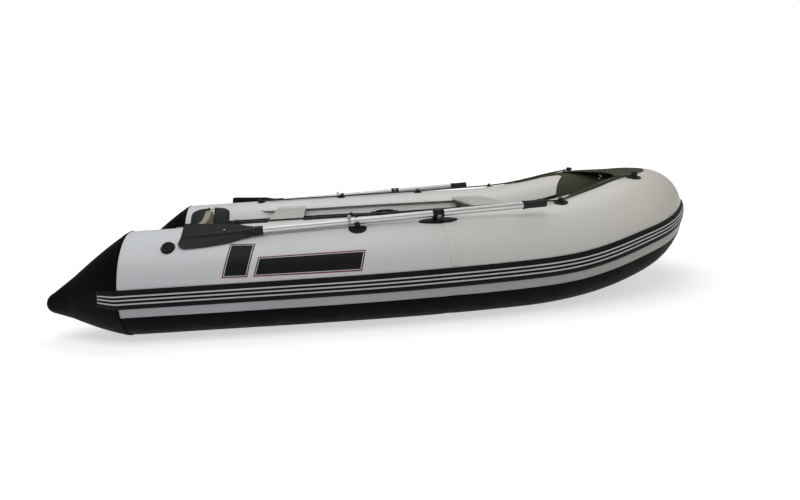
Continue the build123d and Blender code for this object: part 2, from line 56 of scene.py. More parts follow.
TAPER, TAPER_TURNS = 0.065, (52, 79)
RAIL_TOP, RAIL_LOW, STRIP_LOW, CREEP = 3.8, -16.7, -28.3, 11.1  # angles at the stern, and their gain at the bow
CONE, TIP_RADIUS, TIP_DROP, SHOULDER = 0.396, 0.032, 0.071, 1.2  # the last is the power of the cone's narrowing
SEAM_X = 1.399
TRANSOM_X, TRANSOM_THICK = 0.15, 0.036
GLUE = -0.0006  # how far a glued pad's edge reaches into the skin
MIRROR = (1, -1, 1)
MM = np.array((0.001, 0.001))  # for tables in millimetres
SHARE_MM = np.array((1, 0.001))  # for tables of a share and a height in millimetres


def eased(value, start, end):
    """From 0 at start to 1 at end, level at both."""
    share = np.clip((value - start) / (end - start), 0, 1)
    return (1 - np.cos(np.pi * share)) / 2


def joined(*columns):
    """Points or pairs from their coordinates, each a number or an array."""
    return np.stack(np.broadcast_arrays(*columns), -1)


def bow_point(turn):
    """The tube's axis round the bow, at a turn of 0 where the straight ends to 90 at the nose."""
    sine, cosine = np.sin(np.radians(turn)), np.cos(np.radians(turn))
    height = RADIUS + RISE * eased(turn, *RISE_TURNS)
    return joined(STRAIGHT + BOW * sine**POWER, -HALF_SPACING * cosine, height)


def lengths(path):
    return np.cumsum(np.r_[0, np.linalg.norm(np.diff(path, axis=0), axis=1)])


TURNS = 90 * np.linspace(0, 1, 2401) ** 1.25
BOW_POINTS = bow_point(TURNS)
RUNS = STRAIGHT + lengths(BOW_POINTS)
HALF_RUN = RUNS[-1]


def run_at(x):
    """The run along the tube at which its axis is x ahead of the stern plane."""
    return x if x < STRAIGHT else float(np.interp(x, BOW_POINTS[:, 0], RUNS))


def starboard_run(run):
    """A run from the stern on its own side."""
    return np.where(run > HALF_RUN, 2 * HALF_RUN - run, run)


def turn_of(run):
    return np.where(run <= STRAIGHT, 0.0, np.interp(run, RUNS, TURNS))


def unit(vectors):
    return vectors / np.linalg.norm(vectors, axis=-1, keepdims=True)


def section(run):
    """The tube's axis, outboard and up directions and radius at a run, on either side of the bow or in its cone."""
    run = np.asarray(run, float)
    side = np.where(run > HALF_RUN, -1.0, 1.0)
    run = starboard_run(run)
    turn = turn_of(run)
    centre = bow_point(turn)
    straight = run <= STRAIGHT
    centre[..., 0] = np.where(straight, run, centre[..., 0])
    t = np.radians(np.maximum(turn, 0.01))
    step = 0.5
    lift = RISE * (eased(turn + step, *RISE_TURNS) - eased(turn - step, *RISE_TURNS)) / math.radians(2 * step)
    along = joined(BOW * POWER * np.sin(t) ** (POWER - 1) * np.cos(t), HALF_SPACING * np.sin(t), lift)
    along[straight] = (1, 0, 0)
    along = unit(along)
    out = unit(np.cross(along, (0, 0, 1.0)))
    up = np.cross(out, along)
    for v in (centre, out, up):
        v[..., 1] *= side
    back = np.clip(-run / (CONE - TIP_RADIUS), 0, 1)
    centre[..., 2] -= TIP_DROP * back
    radius = RADIUS - TAPER * eased(turn, *TAPER_TURNS) - (RADIUS - TIP_RADIUS) * back**SHOULDER
    return centre, out, up, radius


def skin(run, angle, height=0.0):
    """Points on the tube's skin, or a height above it."""
    run, angle, height = np.broadcast_arrays(*(np.asarray(v, float) for v in (run, angle, height)))
    centre, out, up, radius = section(run)
    a = np.radians(angle)[..., None]
    return centre + (radius + height)[..., None] * (np.cos(a) * out + np.sin(a) * up) + (STERN_X, 0, 0)


def creep(run):
    """How far the rail and the strip under it have turned up the tube."""
    turn = turn_of(starboard_run(np.asarray(run, float)))
    lowered = (1.2 * eased(turn, 12, 33) + 6.0 * eased(turn, 30, 70) - 5.0 * eased(turn, 32, 50)
               + 9.5 * eased(turn, 64, 84))
    return CREEP * eased(turn, 0, RISE_TURNS[1]) - lowered


def skin_frame(x, angle):
    """An origin on the skin and its directions: along the tube, around it and outwards."""
    run = run_at(x)
    along = unit(skin(run + 0.002, angle) - skin(run - 0.002, angle))
    around = skin(run, angle + 0.5) - skin(run, angle - 0.5)
    around = unit(around - along * (around @ along))
    return skin(run, angle), along, around, np.cross(along, around)


def place(points, frame_):
    origin, x, y, z = (np.asarray(v, float) for v in frame_)
    points = np.asarray(points, float)
    return origin + points[..., :1] * x + points[..., 1:2] * y + points[..., 2:3] * z


# ---- mesh parts: (points, faces, uvs, material indices)
def grid(points, uv=None, material=0, wrap=False):
    """A sheet of quads over rows and columns of points. Material may be a function of a face's row and column."""
    n, m = points.shape[:2]
    if uv is None:
        uv = joined(lengths(points[:, m // 2])[:, None], lengths(points[n // 2])[None, :])
    faces, marks = [], []
    for i in range(n - 1):
        for j in range(m if wrap else m - 1):
            k = (j + 1) % m
            faces.append((i * m + j, (i + 1) * m + j, (i + 1) * m + k, i * m + k))
            marks.append(material(i, j) if callable(material) else material)
    return points.reshape(-1, 3), faces, uv.reshape(-1, 2), marks


def skin_grid(runs, angles, heights, material=0, wrap=False):
    return grid(skin(runs, angles, heights), joined(runs, np.radians(angles) * RADIUS), material, wrap)


def merge(*parts):
    points, faces, uvs, marks, start = [], [], [], [], 0
    for p, f, u, m in parts:
        points.append(p)
        uvs.append(u)
        faces += [tuple(i + start for i in face) for face in f]
        marks += m
        start += len(p)
    return np.concatenate(points), faces, np.concatenate(uvs), marks


def with_ends(part, rings, sides, material=0):
    """Closes a wrapped grid's first and last rings with a face each."""
    last = (rings - 1) * sides
    ends = [tuple(range(sides)), tuple(last + j for j in range(sides))[::-1]]
    return part[0], part[1] + ends, part[2], part[3] + [material] * 2


def circle(sides):
    return np.linspace(0, 2 * np.pi, sides, endpoint=False)


def tube(path, radius, sides=12, material=0, flat=1.0, capped=True):
    """A round bar along points, with a radius for each; flat squeezes it across the bend's plane."""
    path = np.asarray(path, float)
    n = len(path)
    radius = np.broadcast_to(np.asarray(radius, float), n)
    tangent = np.gradient(path, axis=0)
    tangent /= np.maximum(np.linalg.norm(tangent, axis=1, keepdims=True), 1e-9)
    normal = np.cross(tangent[0], (0, 0, 1.0) if abs(tangent[0][2]) < 0.9 else (0, 1.0, 0))
    t = circle(sides)[:, None]
    rings = []
    for i in range(n):
        normal = unit(normal - tangent[i] * (normal @ tangent[i]))
        other = np.cross(tangent[i], normal)
        rings.append(path[i] + radius[i] * (np.cos(t) * normal + flat * np.sin(t) * other))
    part = grid(np.array(rings), None, material, wrap=True)
    return with_ends(part, n, sides, material) if capped else part


def turned(frame_, profile, sides=24, material=0):
    """A turned shape about a frame's x axis, from (x, radius) pairs."""
    x, radius = np.array(profile, float).T[..., None]
    t = circle(sides)
    points = joined(x, radius * np.cos(t), radius * np.sin(t))
    return grid(place(points, frame_), None, material, wrap=True)


def relief_rings(profile, outline, sides, relief):
    """Rings of a relief: their two directions and height, from (share of the outline, height) pairs."""
    t = circle(sides)
    edge = outline(t)
    share, height = (column[:, None] + 0 * t for column in np.array(profile, float).T)
    if relief is not None:
        height = height + relief(share, t + 0 * share)
    return share * edge[:, 0], share * edge[:, 1], height


def disc(frame_, profile, outline, sides=40, material=0, relief=None):
    """A relief in a frame's plane."""
    u, v, height = relief_rings(profile, outline, sides, relief)
    return grid(place(joined(u, v, height), frame_), joined(u, v), material, wrap=True)


def patch(run, angle, profile, outline, sides=40, material=0, relief=None):
    """A relief on the tube's skin, bent to it."""
    u, v, height = relief_rings(profile, outline, sides, relief)
    points = skin(run + u, angle + np.degrees(v / float(section(run)[3])), height)
    return grid(points, joined(u, v), material, wrap=True)


def ellipse(a, b, power=2.0):
    def outline(t):
        c, s = np.cos(t), np.sin(t)
        return joined(a * np.sign(c) * abs(c) ** (2 / power), b * np.sign(s) * abs(s) ** (2 / power))
    return outline


def pad_profile(thickness, rounding=0.12):
    """A pad with rolled edges, down to the surface that it is glued to."""
    top = [(share, thickness) for share in (1e-4, 0.3, 0.6, 1 - rounding)]
    return top + [(1 - rounding * 0.4, thickness * 0.92), (1.0, thickness * 0.55), (1.0, GLUE)]


def band(runs, rows, material=0):
    """A strip along the skin, from (angle, height) pairs that are numbers or have a value for each run."""
    angles, heights = (np.stack([np.broadcast_to(v, runs.shape) for v in column], -1) for column in zip(*rows))
    return skin_grid(runs[:, None], angles, heights, material)


def tape(runs, low, high, thickness, material=0):
    """A glued tape along the tube between two angles, with feathered edges."""
    rows = ((low - 0.35, -0.0003), (low, thickness), ((low + high) / 2, thickness * 1.15), (high, thickness),
            (high + 0.35, -0.0003))
    return band(runs, rows, material)


def ring_tape(run, width, start, end, thickness, material=0, count=60):
    """A glued tape round the tube between two angles."""
    runs = run + np.array([-0.5, -0.46, -0.15, 0.15, 0.46, 0.5]) * width
    heights = np.array([-0.0003, *(thickness * k for k in (1, 1.15, 1.15, 1)), -0.0003])
    return skin_grid(runs[:, None], np.linspace(start, end, count)[None, :], heights[:, None], material)


def rounded_box(low, high, bevel, segments=3, frame_=None):
    """A box with rolled edges, in the row frame or in a frame of its own."""
    bm = bmesh.new()
    bmesh.ops.create_cube(bm, size=1)
    low, high = np.asarray(low, float), np.asarray(high, float)
    for v in bm.verts:
        v.co = Vector((low + high) / 2 + np.array(v.co) * (high - low))
    bmesh.ops.bevel(bm, geom=bm.edges[:], offset=bevel, segments=segments, profile=0.6, affect="EDGES")
    bm.verts.index_update()
    points = np.array([v.co for v in bm.verts])
    faces = [tuple(v.index for v in f.verts) for f in bm.faces]
    bm.free()
    uv = points[:, :2] + points[:, 2:3] * 0.7
    return points if frame_ is None else place(points, frame_), faces, uv, [0] * len(faces)


def new_object(name, data):
    made = bpy.data.objects.new(name, data)
    bpy.context.scene.collection.objects.link(made)
    return made


def add_piece(name, part, materials, body, nodes=(), flip=False):
    points, faces, uvs, marks = part
    if flip:
        points = points * MIRROR
        faces = [face[::-1] for face in faces]
    mesh = bpy.data.meshes.new(name)
    mesh.from_pydata([tuple(p) for p in points], [], faces)
    layer = mesh.uv_layers.new(name="UVMap")
    corners = np.zeros(len(mesh.loops), np.int32)
    mesh.loops.foreach_get("vertex_index", corners)
    layer.data.foreach_set("uv", uvs[corners].astype(np.float32).ravel())
    mesh.polygons.foreach_set("material_index", marks)
    mesh.polygons.foreach_set("use_smooth", [True] * len(faces))
    for m in materials:
        mesh.materials.append(m)
    mesh.set_sharp_from_angle(angle=math.radians(38))
    mesh.update()
    obj = new_object(name, mesh)
    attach(obj, body)
    if nodes:
        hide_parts(*nodes)
    return obj


def hull_piece(name, part, materials, slot, *nodes):
    return add_piece(name, part, materials, "hull", nodes)


def both(name, part, materials, node=None, body=None):
    """A starboard piece and its mirror image, on the hull or on each side's own body."""
    for side in ("starboard", "port"):
        rides = f"{side}_{body}" if body else "hull"
        nodes = (f"{side}_{node}",) if node else ()
        add_piece(f"{side}_{name}", part, materials, rides, nodes, flip=side == "port")


# ---- materials
def feed(made, **sockets):
    """Links or sets a node's inputs, each named or given as i and its number."""
    for key, value in sockets.items():
        numbered = key[0] == "i" and key[1:].isdigit()
        socket = made.inputs[int(key[1:])] if numbered else made.inputs[key.replace("_", " ")]
        if isinstance(value, bpy.types.NodeSocket):
            made.id_data.links.new(value, socket)
        else:
            socket.default_value = value
    return made


def shader(name, rough=0.5, metallic=0.0, coat=0.0, coat_rough=0.2, specular=0.5, sheen=0.0):
    made = bpy.data.materials.new(name)
    made.use_nodes = True
    surface = made.node_tree.nodes["Principled BSDF"]
    feed(surface, Roughness=rough, Metallic=metallic, Coat_Weight=coat, Coat_Roughness=coat_rough,
         Specular_IOR_Level=specular, Sheen_Weight=sheen)
    return made, made.node_tree, surface


def node(tree, kind, props=None, **sockets):
    made = tree.nodes.new("ShaderNode" + kind)
    for key, value in (props or {}).items():
        setattr(made, key, value)
    return feed(made, **sockets)


def coordinates(tree, scale=(1, 1, 1), kind="Object"):
    source = node(tree, "TexCoord")
    return node(tree, "Mapping", Vector=source.outputs[kind], Scale=scale).outputs[0]


def noise(vector, scale, detail=3.0, rough=0.5, distortion=0.0):
    return node(vector.id_data, "TexNoise", Vector=vector, Scale=scale, Detail=detail, Roughness=rough,
                Distortion=distortion).outputs["Fac"]


def waves(vector, scale, direction="X", **more):
    props = {"wave_type": "BANDS", "bands_direction": direction}
    return node(vector.id_data, "TexWave", props, Vector=vector, Scale=scale, **more).outputs["Fac"]


def cells(vector, scale):
    return node(vector.id_data, "TexVoronoi", Vector=vector, Scale=scale).outputs["Distance"]


def spread(value, low, high, source=(0.3, 0.7)):
    return node(value.id_data, "MapRange", Value=value, From_Min=source[0], From_Max=source[1], To_Min=low,
                To_Max=high).outputs[0]


def scaled(colour, share):
    return tuple(min(1.0, c * share) for c in colour)


def blend_colour(factor, first, second):
    first, second = (tone if isinstance(tone, bpy.types.NodeSocket) else (*tone, 1) for tone in (first, second))
    return node(factor.id_data, "Mix", {"data_type": "RGBA"}, Factor=factor, i6=first, i7=second).outputs[2]


def bump(height, distance, strength=1.0, under=None):
    made = node(height.id_data, "Bump", Height=height, Distance=distance, Strength=strength)
    return (feed(made, Normal=under) if under else made).outputs[0]


def varied(surface, vector, colour, amount, scale, rough, rough_range=0.07):
    """Uneven colour and gloss: broad clouds with finer marks in them."""
    clouds = noise(vector, scale, 4.0, 0.55)
    marks = noise(vector, scale * 9, 5.0, 0.65)
    broad = blend_colour(spread(clouds, 0, 1), scaled(colour, 1 - amount), scaled(colour, 1 + amount))
    fine = blend_colour(spread(marks, 0, 0.5, (0.55, 0.8)), broad, scaled(colour, 1 - 2 * amount))
    feed(surface, Base_Color=fine)
    gloss = spread(noise(vector, scale * 4, 4.0), rough - rough_range, rough + rough_range)
    feed(surface, Roughness=gloss)
    return fine


def coated_fabric(name, colour, rough=0.42, amount=0.03, coat=0.0, wrinkle=0.0012, painted_bow_light=None, weave=0.00007,
                  specular=0.5):
    """Coated cloth: a fine weave under the coating, soft ripples and a few scuffs. The bow colour, if given, is painted
    light: a warmer, dimmer tone faded in towards the bow.
    """
    made, tree, surface = shader(name, rough, coat=coat, coat_rough=0.3, specular=specular)
    uv = coordinates(tree, kind="UV")
    fine = varied(surface, uv, colour, amount, 3.2, rough)
    if painted_bow_light:
        # painted light: the colour fades along x to a warmer, dimmer tone towards the bow, standing in for the warmer
        # light there
        axes = node(tree, "SeparateXYZ", Vector=coordinates(tree))
        share = spread(axes.outputs[0], 0, 1, (-0.9, 1.3))
        feed(surface, Base_Color=blend_colour(share, fine, painted_bow_light))
    cloth = bump(noise(coordinates(tree, (1.0, 2.6, 1), "UV"), 4.5, 2.0), wrinkle)
    for direction in ("X", "Y"):
        cloth = bump(waves(uv, 260.0, direction, Distortion=0.5, Detail=1.0), weave, 0.5, cloth)
    scuffs = noise(coordinates(tree, (2.0, 14.0, 1), "UV"), 5.0, 6.0, 0.7)
    feed(surface, Normal=bump(spread(scuffs, 0, 1, (0.62, 0.75)), 0.00025, 0.6, cloth))
    return made


def moulded(name, colour, rough=0.5, amount=0.08, grain=700.0, depth=0.00012, specular=0.5):
    """Moulded plastic or rubber: a fine pebbled skin, flow marks and rubbed patches."""
    made, tree, surface = shader(name, rough, specular=specular)
    where = coordinates(tree)
    varied(surface, where, colour, amount, 14.0, rough, 0.09)
    pebble = cells(where, grain)
    flow = bump(noise(where, 30.0, 3.0), 0.0004, 0.5)
    feed(surface, Normal=bump(pebble, depth, 0.6, flow))
    return made


def brushed(name, colour, rough, along=(6, 900, 900)):
    """Drawn or brushed metal, with long fine lines, dull spots and small scratches."""
    made, tree, surface = shader(name, rough, metallic=1.0)
    lines = noise(coordinates(tree, along), 1.0, 6.0, 0.6)
    spots = noise(coordinates(tree), 22.0, 5.0, 0.6)
    streaks = blend_colour(spread(lines, 0, 1), scaled(colour, 0.9), colour)
    worn = blend_colour(spread(spots, 0, 0.5, (0.5, 0.75)), streaks, scaled(colour, 0.84))
    feed(surface, Base_Color=worn)
    feed(surface, Roughness=spread(spots, rough - 0.06, rough + 0.16))
    feed(surface, Normal=bump(lines, 0.00004, 0.5))
    return made


def timber(name, colour, dark, rough, coat, along, plies=None, strength=0.5, depth=0.0002):
    """A board with its grain along one way, and plies on its edges."""
    made, tree, surface = shader(name, rough, coat=coat, coat_rough=0.12)
    grain = noise(coordinates(tree, along), 2.2, 7.0, 0.62, 0.8)
    pores = noise(coordinates(tree, tuple(a * 7 for a in along)), 3.0, 3.0)
    tone = blend_colour(spread(grain, 0, strength, (0.35, 0.7)), colour, dark)
    tone = blend_colour(spread(pores, 0, strength * 0.6, (0.55, 0.8)), tone, scaled(dark, 0.6))
    if plies:
        layers = waves(coordinates(tree), plies, Distortion=0.4, Detail=1.0)
        tone = blend_colour(spread(layers, 0, 0.55, (0.4, 0.6)), tone, dark)
    feed(surface, Base_Color=tone)
    feed(surface, Roughness=spread(grain, rough - 0.06, rough + 0.1))
    feed(surface, Normal=bump(pores, depth, 0.5, bump(grain, depth, 0.4)))
    return made


def speckled(name, colour, light):
    """Dark non-slip board: a hard raised mesh with pale rubbed grains."""
    made, tree, surface = shader(name, 0.6)
    where = coordinates(tree)
    base = varied(surface, where, colour, 0.15, 4.0, 0.6)
    mesh = cells(where, 420.0)
    worn = spread(noise(where, 7.0, 5.0, 0.6), 0, 0.4, (0.55, 0.8))
    feed(surface, Base_Color=blend_colour(worn, base, light))
    feed(surface, Normal=bump(mesh, 0.0006, 0.7))
    return made


def braided(name, colour):
    """Rope of braided strands, seen as slanted ribs both ways round."""
    made, tree, surface = shader(name, 0.65, sheen=0.2)
    varied(surface, coordinates(tree, kind="UV"), colour, 0.25, 30.0, 0.65)
    normal = None
    for turn in (0.7, -0.7):
        uv = node(tree, "TexCoord").outputs["UV"]
        slanted = node(tree, "Mapping", Vector=uv, Rotation=(0, 0, turn)).outputs[0]
        normal = bump(waves(slanted, 62.0), 0.0012, 0.7, normal)
    feed(surface, Normal=normal)
    return made


# the white fabric and the pale strip both carry painted light: a warmer, dimmer tone towards the bow
WHITE = coated_fabric("white_coated_fabric", (0.7, 0.715, 0.735), 0.42, 0.025, 0.1, painted_bow_light=(0.7, 0.675, 0.61))
PALE = coated_fabric("pale_strip", (0.55, 0.56, 0.6), 0.45, 0.05, 0.03, painted_bow_light=(0.42, 0.41, 0.375))
BLACK = coated_fabric("black_coated_fabric", (0.0045, 0.0045, 0.0048), 0.5, 0.18, 0.0, 0.0016, specular=0.025)
BAND = coated_fabric("inner_band_fabric", (0.012, 0.012, 0.013), 0.5, 0.15, specular=0.08)
LINING = coated_fabric("bow_lining_fabric", (0.05, 0.047, 0.026), 0.55, 0.2, 0.0, 0.002, specular=0.12)
DECK = coated_fabric("deck_fabric", (0.058, 0.054, 0.028), 0.58, 0.2, 0.0, 0.002, weave=0.00015, specular=0.12)
RAIL = moulded("rail_rubber", (0.011, 0.011, 0.012), 0.48, 0.15, 500.0, specular=0.07)
RAIL_LINE = moulded("rail_line_rubber", (0.62, 0.63, 0.64), 0.5, 0.05, 500.0)
GREY_RUBBER = moulded("grey_rubber", (0.028, 0.031, 0.03), 0.6, 0.15, specular=0.12)
PLASTIC = moulded("black_plastic", (0.01, 0.01, 0.011), 0.42, 0.2, specular=0.16)
BLADE = moulded("blade_plastic", (0.017, 0.02, 0.0195), 0.45, 0.15, 350.0, 0.0002, specular=0.16)
GRIP = moulded("black_grip", (0.012, 0.012, 0.013), 0.6, 0.2, 900.0, 0.0003, specular=0.3)
PAD = moulded("pad_plastic", (0.45, 0.46, 0.45), 0.45)
CLIP = moulded("clip_plastic", (0.42, 0.43, 0.42), 0.25, 0.05)
ROPE = braided("black_rope", (0.01, 0.01, 0.01))
OAR_METAL = brushed("oar_aluminium", (0.62, 0.615, 0.605), 0.37)
FLOOR_METAL = brushed("floor_aluminium", (0.62, 0.63, 0.64), 0.38)
STEEL = brushed("steel", (0.34, 0.34, 0.345), 0.25, (200, 200, 200))
FLOOR = speckled("floor_plywood", (0.05, 0.043, 0.036), (0.12, 0.11, 0.095))
TRANSOM = timber("transom_plywood", (0.4, 0.35, 0.25), (0.24, 0.19, 0.13), 0.4, 0.3, (30, 3, 30), 34.0)
BENCH = timber("bench_board", (0.73, 0.74, 0.64), (0.64, 0.66, 0.56), 0.2, 0.5, (40, 5, 40), None, 0.12, 0.00004)
VINYL = coated_fabric("panel_vinyl", (0.011, 0.012, 0.014), 0.38, 0.12, 0.0, 0.0006, specular=0.12)
RED_LINE = coated_fabric("panel_red", (0.3, 0.02, 0.025), 0.4, 0.1, 0.1)
PALE_LINE = coated_fabric("panel_pale", (0.62, 0.62, 0.62), 0.4, 0.04, 0.1)
SLOTS = dict(
    tube_fabric=WHITE, black_fabric=BLACK, deck_fabric=DECK, rail_rubber=RAIL, grey_rubber=GREY_RUBBER,
    black_plastic=PLASTIC, blade_plastic=BLADE, black_grip=GRIP, black_rope=ROPE, oar_aluminium=OAR_METAL,
    floor_aluminium=FLOOR_METAL, floor_plywood=FLOOR, transom_plywood=TRANSOM, pad_plastic=PAD, bench_board=BENCH)
for subpart in frame["record"]["subparts"]:
    cad_mesh = frame["nodes"][subpart["node"]].data
    cad_mesh.materials.clear()
    cad_mesh.materials.append(SLOTS[subpart["material_slot"]])

# ---- the tubes
SEAM_RUN = run_at(SEAM_X)
TUBE_MATERIALS = [WHITE, PALE, BLACK, BAND]
ZONE_FACES, ZONE_MATERIALS = (14, 3, 31, 14), (2, 1, 0, 3)


def band_top(run):
    """The angle at which the white ends and the dark band down the inner wall starts."""
    return 145.0 + 7.0 * eased(starboard_run(run), 0.8, 2.2)


def ripple(run, angle):
    """The slight waves of an inflated skin, and its pinch at a seam."""
    height = 0.0
    for along, around, phase, size in ((5.1, 2.0, 0.3, 2.2), (11.3, -3.1, 1.9, 1.3), (23.0, 5.2, 4.1, 0.7),
                                       (41.0, 1.0, 2.6, 0.5)):
        height = height + size * 1e-4 * np.sin(along * run + np.radians(angle) * around + phase)
    for seam in (0.0, SEAM_RUN, 2 * HALF_RUN - SEAM_RUN, 2 * HALF_RUN):
        height = height - 0.0016 * np.exp(-(((run - seam) / 0.022) ** 2))
    return height


def tube_skin(runs):
    """The skin's four zones: dark underside, pale strip, white and inner band."""
    limits = [-120 + 0 * runs, STRIP_LOW + creep(runs), RAIL_LOW + creep(runs), band_top(runs), 240 + 0 * runs]
    columns = [limits[0][:, None]]
    for start, end, faces in zip(limits, limits[1:], ZONE_FACES):
        columns.append(np.linspace(start, end, faces + 1, axis=1)[:, 1:])
    angles, kinds = np.concatenate(columns, 1), np.repeat(ZONE_MATERIALS, ZONE_FACES)
    return skin_grid(runs[:, None], angles, ripple(runs[:, None], angles), lambda i, j: int(kinds[j]))


near_seam = np.linspace(SEAM_RUN - 0.05, SEAM_RUN, 8)
side_runs = np.r_[0:0.09:8j, 0.1:SEAM_RUN - 0.06:52j, near_seam]
bow_runs = np.linspace(SEAM_RUN, 2 * HALF_RUN - SEAM_RUN, 171)
both("tube_skin", tube_skin(side_runs), TUBE_MATERIALS, "tube")
hull_piece("bow_tube_skin", tube_skin(bow_runs), TUBE_MATERIALS, "tube_fabric", "bow_tube")

crest_runs = np.linspace(run_at(1.95), HALF_RUN, 60)
crest_low = 78.5 - 5 * eased(crest_runs, 2.2, 2.5)
strip_runs = np.linspace(0.02, HALF_RUN, 130)
strip_low = STRIP_LOW + creep(strip_runs)
inner_runs = np.linspace(0.03, run_at(2.3), 110)
inner_low = band_top(inner_runs)
both("seam_tapes", merge(
    ring_tape(SEAM_RUN, 0.026, RAIL_TOP + 3, 143, 0.0009),
    tape(crest_runs, crest_low, crest_low + 2, 0.001),
    tape(strip_runs, strip_low - 5, strip_low, 0.001, 1),
    tape(inner_runs, inner_low - 0.6, inner_low + 5, 0.001, 2),
), [WHITE, BLACK, BAND])

# ---- the stern cones, each with a ball's round end
BALL, CONE_SLOPE = 0.046, 0.51  # the ball's radius, and the slope at which the cone meets it
tip_turns = np.radians(np.linspace(89, 0, 12, endpoint=False))
cone_runs = np.r_[TIP_RADIUS - CONE - TIP_RADIUS * np.sin(tip_turns), TIP_RADIUS - CONE:0:44j]
cone_angles = np.linspace(0, 360, 73)[:-1]
from_ball = cone_runs + CONE - BALL
plain_radius = section(cone_runs)[3]
ball_radius = np.sqrt(np.maximum(BALL**2 - np.minimum(from_ball, 0) ** 2, 0))
tangent_line = BALL * math.hypot(1, CONE_SLOPE) + from_ball * CONE_SLOPE
past_ball = from_ball > -BALL * math.sin(math.atan(CONE_SLOPE))
cone_height = np.where(past_ball, np.maximum(plain_radius, tangent_line), ball_radius) - plain_radius
puckers = 0.0007 * np.sin(np.radians(cone_angles) * 24) * np.exp(cone_runs / 0.04)[:, None]
both("cone_skin", merge(
    skin_grid(cone_runs[:, None], cone_angles, cone_height[:, None] + puckers, 0, wrap=True),
    ring_tape(-0.012, 0.028, 0, 360, 0.0014, 0, 73),
), [BLACK, RAIL], "stern_cone")

# ---- rub rail, with raised lines and its tail on the cone
TAIL = 0.100
RAIL_EDGE = [(0.0, -0.0004), (0.0, 0.0045), (0.035, 0.0065), (0.09, 0.0072)]
GROOVE = ((-0.035, 0.0072), (-0.022, 0.0062), (0.022, 0.0062), (0.035, 0.0072))
LINE = ((-0.036, 0.006), (-0.031, 0.0092), (0.031, 0.0092), (0.036, 0.006))


def rail_row(runs, share, height):
    """A row at a share of the rail's width. It narrows round the bow, and its tail is lifted to run on level."""
    low = RAIL_LOW + creep(runs) + 5.5 * (np.clip(-runs, 0, 1) / TAIL) ** 1.2
    width = (RAIL_TOP - RAIL_LOW) * (1 - 0.15 * eased(turn_of(np.maximum(runs, 0)), 28, 62))
    return low + width * share, height * np.clip((runs + TAIL) / 0.005, 0.02, 1)


rail_runs = np.r_[-TAIL, 0.002 - TAIL, 0.006 - TAIL, 0.015 - TAIL:-0.01:8j, 0:HALF_RUN:150j]
line_runs = np.r_[np.linspace(-TAIL + 0.008, 0, 12)[:-1], 0:HALF_RUN:140j]
grooves = [(middle + share, height) for middle in (0.2, 0.41, 0.605, 0.8) for share, height in GROOVE]
profile = RAIL_EDGE + grooves + [(1 - share, height) for share, height in RAIL_EDGE[::-1]]
rail = [band(rail_runs, [rail_row(rail_runs, *point) for point in profile])]
for middle in (0.31, 0.51, 0.7):
    rail.append(band(line_runs, [rail_row(line_runs, middle + share, height) for share, height in LINE], 1))
both("rub_rail_profile", merge(*rail), [RAIL, RAIL_LINE], "rub_rail")

nose_angle = RAIL_LOW + float(creep(HALF_RUN)) + 3.5
nose_pad = patch(HALF_RUN, nose_angle, pad_profile(0.018, 0.25), ellipse(0.05, 0.03, 2.6), 48)
hull_piece("bow_nose_pad", nose_pad, [RAIL], "rail_rubber")


# ---- the dark lining inside the bow, with its welt
def lining_start(angle):
    """Where the lining's edge lies: a wing along each tube's crest, then down its inner wall."""
    return np.interp(angle, (84, 87, 89, 92, 96, 100, 104, 109, 115.5, 138, 154.5, 240),
                     (2.18, 2.13, 2.11, 2.11, 2.14, 2.21, 2.36, 2.468, 2.505, 2.467, 2.446, 2.40))


lining_angles = np.r_[86.5:116:26j, 121:236:26j]
lining_ends = lining_start(lining_angles)
lining_share = np.linspace(0, 1, 131)[:, None]
columns_in = np.minimum(np.arange(52), 51 - np.arange(52))
inside = np.clip(np.minimum(np.minimum(lining_share, 1 - lining_share) * 200, columns_in * 2.0), 0, 1)
lining_runs = lining_ends + 2 * (HALF_RUN - lining_ends) * lining_share
welt_angles = np.linspace(87.5, 200, 60)
welt = skin(lining_start(welt_angles), welt_angles, 0.0012)
hull_piece("bow_lining", merge(
    skin_grid(lining_runs, lining_angles, inside * 0.0016 - 0.0003),
    tube(welt, 0.0024, 8, 1), tube(welt * MIRROR, 0.0024, 8, 1),
), [LINING, DECK], "deck_fabric")

# ---- the bow deck, with its hem, strap and ring
DECK_ROWS = 26
deck_runs = np.linspace(run_at(2.442), HALF_RUN - 0.004, DECK_ROWS)
deck_edge = 87.5 + 14.0 * eased(deck_runs, 2.70, HALF_RUN)
columns = [skin(deck_runs, deck_edge + turn, height) for turn, height in ((0, 0.0022), (6, 0.003), (14, 0.0042))]
inner = columns[-1]
aft = np.linspace(1, 0, DECK_ROWS)
for share in np.linspace(0, 1, 13)[1:]:
    crown = 1 - (1 - share) ** 2
    level = inner * (1, 1 - share, 1)
    level[:, 2] += 0.006 * crown - 0.0015 * np.sin(np.pi * share)
    level[:, 0] += 0.088 * crown * aft**1.3
    columns.append(level)
half_deck = np.stack(columns, 1)
deck_points = np.concatenate([half_deck, (half_deck * MIRROR)[:, -2::-1]], 1)
deck_columns = deck_points.shape[1]
deck_points[:, :, 2] += 0.0012 * np.sin(np.linspace(0, 9, deck_columns)) * aft[:, None]
deck_uv = joined(np.linspace(0, 0.26, DECK_ROWS)[:, None], np.linspace(-0.32, 0.32, deck_columns))
deck = hull_piece("bow_deck_sheet", grid(deck_points[:, ::-1], deck_uv), [DECK], "deck_fabric", "bow_deck")
hem_middle = deck_points[0][deck_columns // 2]
t = np.linspace(0, np.pi, 17)
strap = hem_middle + joined(0.004 - 0.012 * np.sin(t), 0.026 * np.cos(t), 0.004 - 0.030 * np.sin(t))
ring = hem_middle + joined(-0.01, 0.012 * np.cos(t * 2), -0.030 + 0.012 * np.sin(t * 2))
hem = hull_piece("bow_deck_hem", merge(
    tube(deck_points[0] + (0, 0, -0.0005), 0.0042, 10),
    tube(strap, 0.005, 8, flat=0.4),
    tube(ring, 0.0026, 8, 1, capped=False),
), [DECK, STEEL], "deck_fabric")

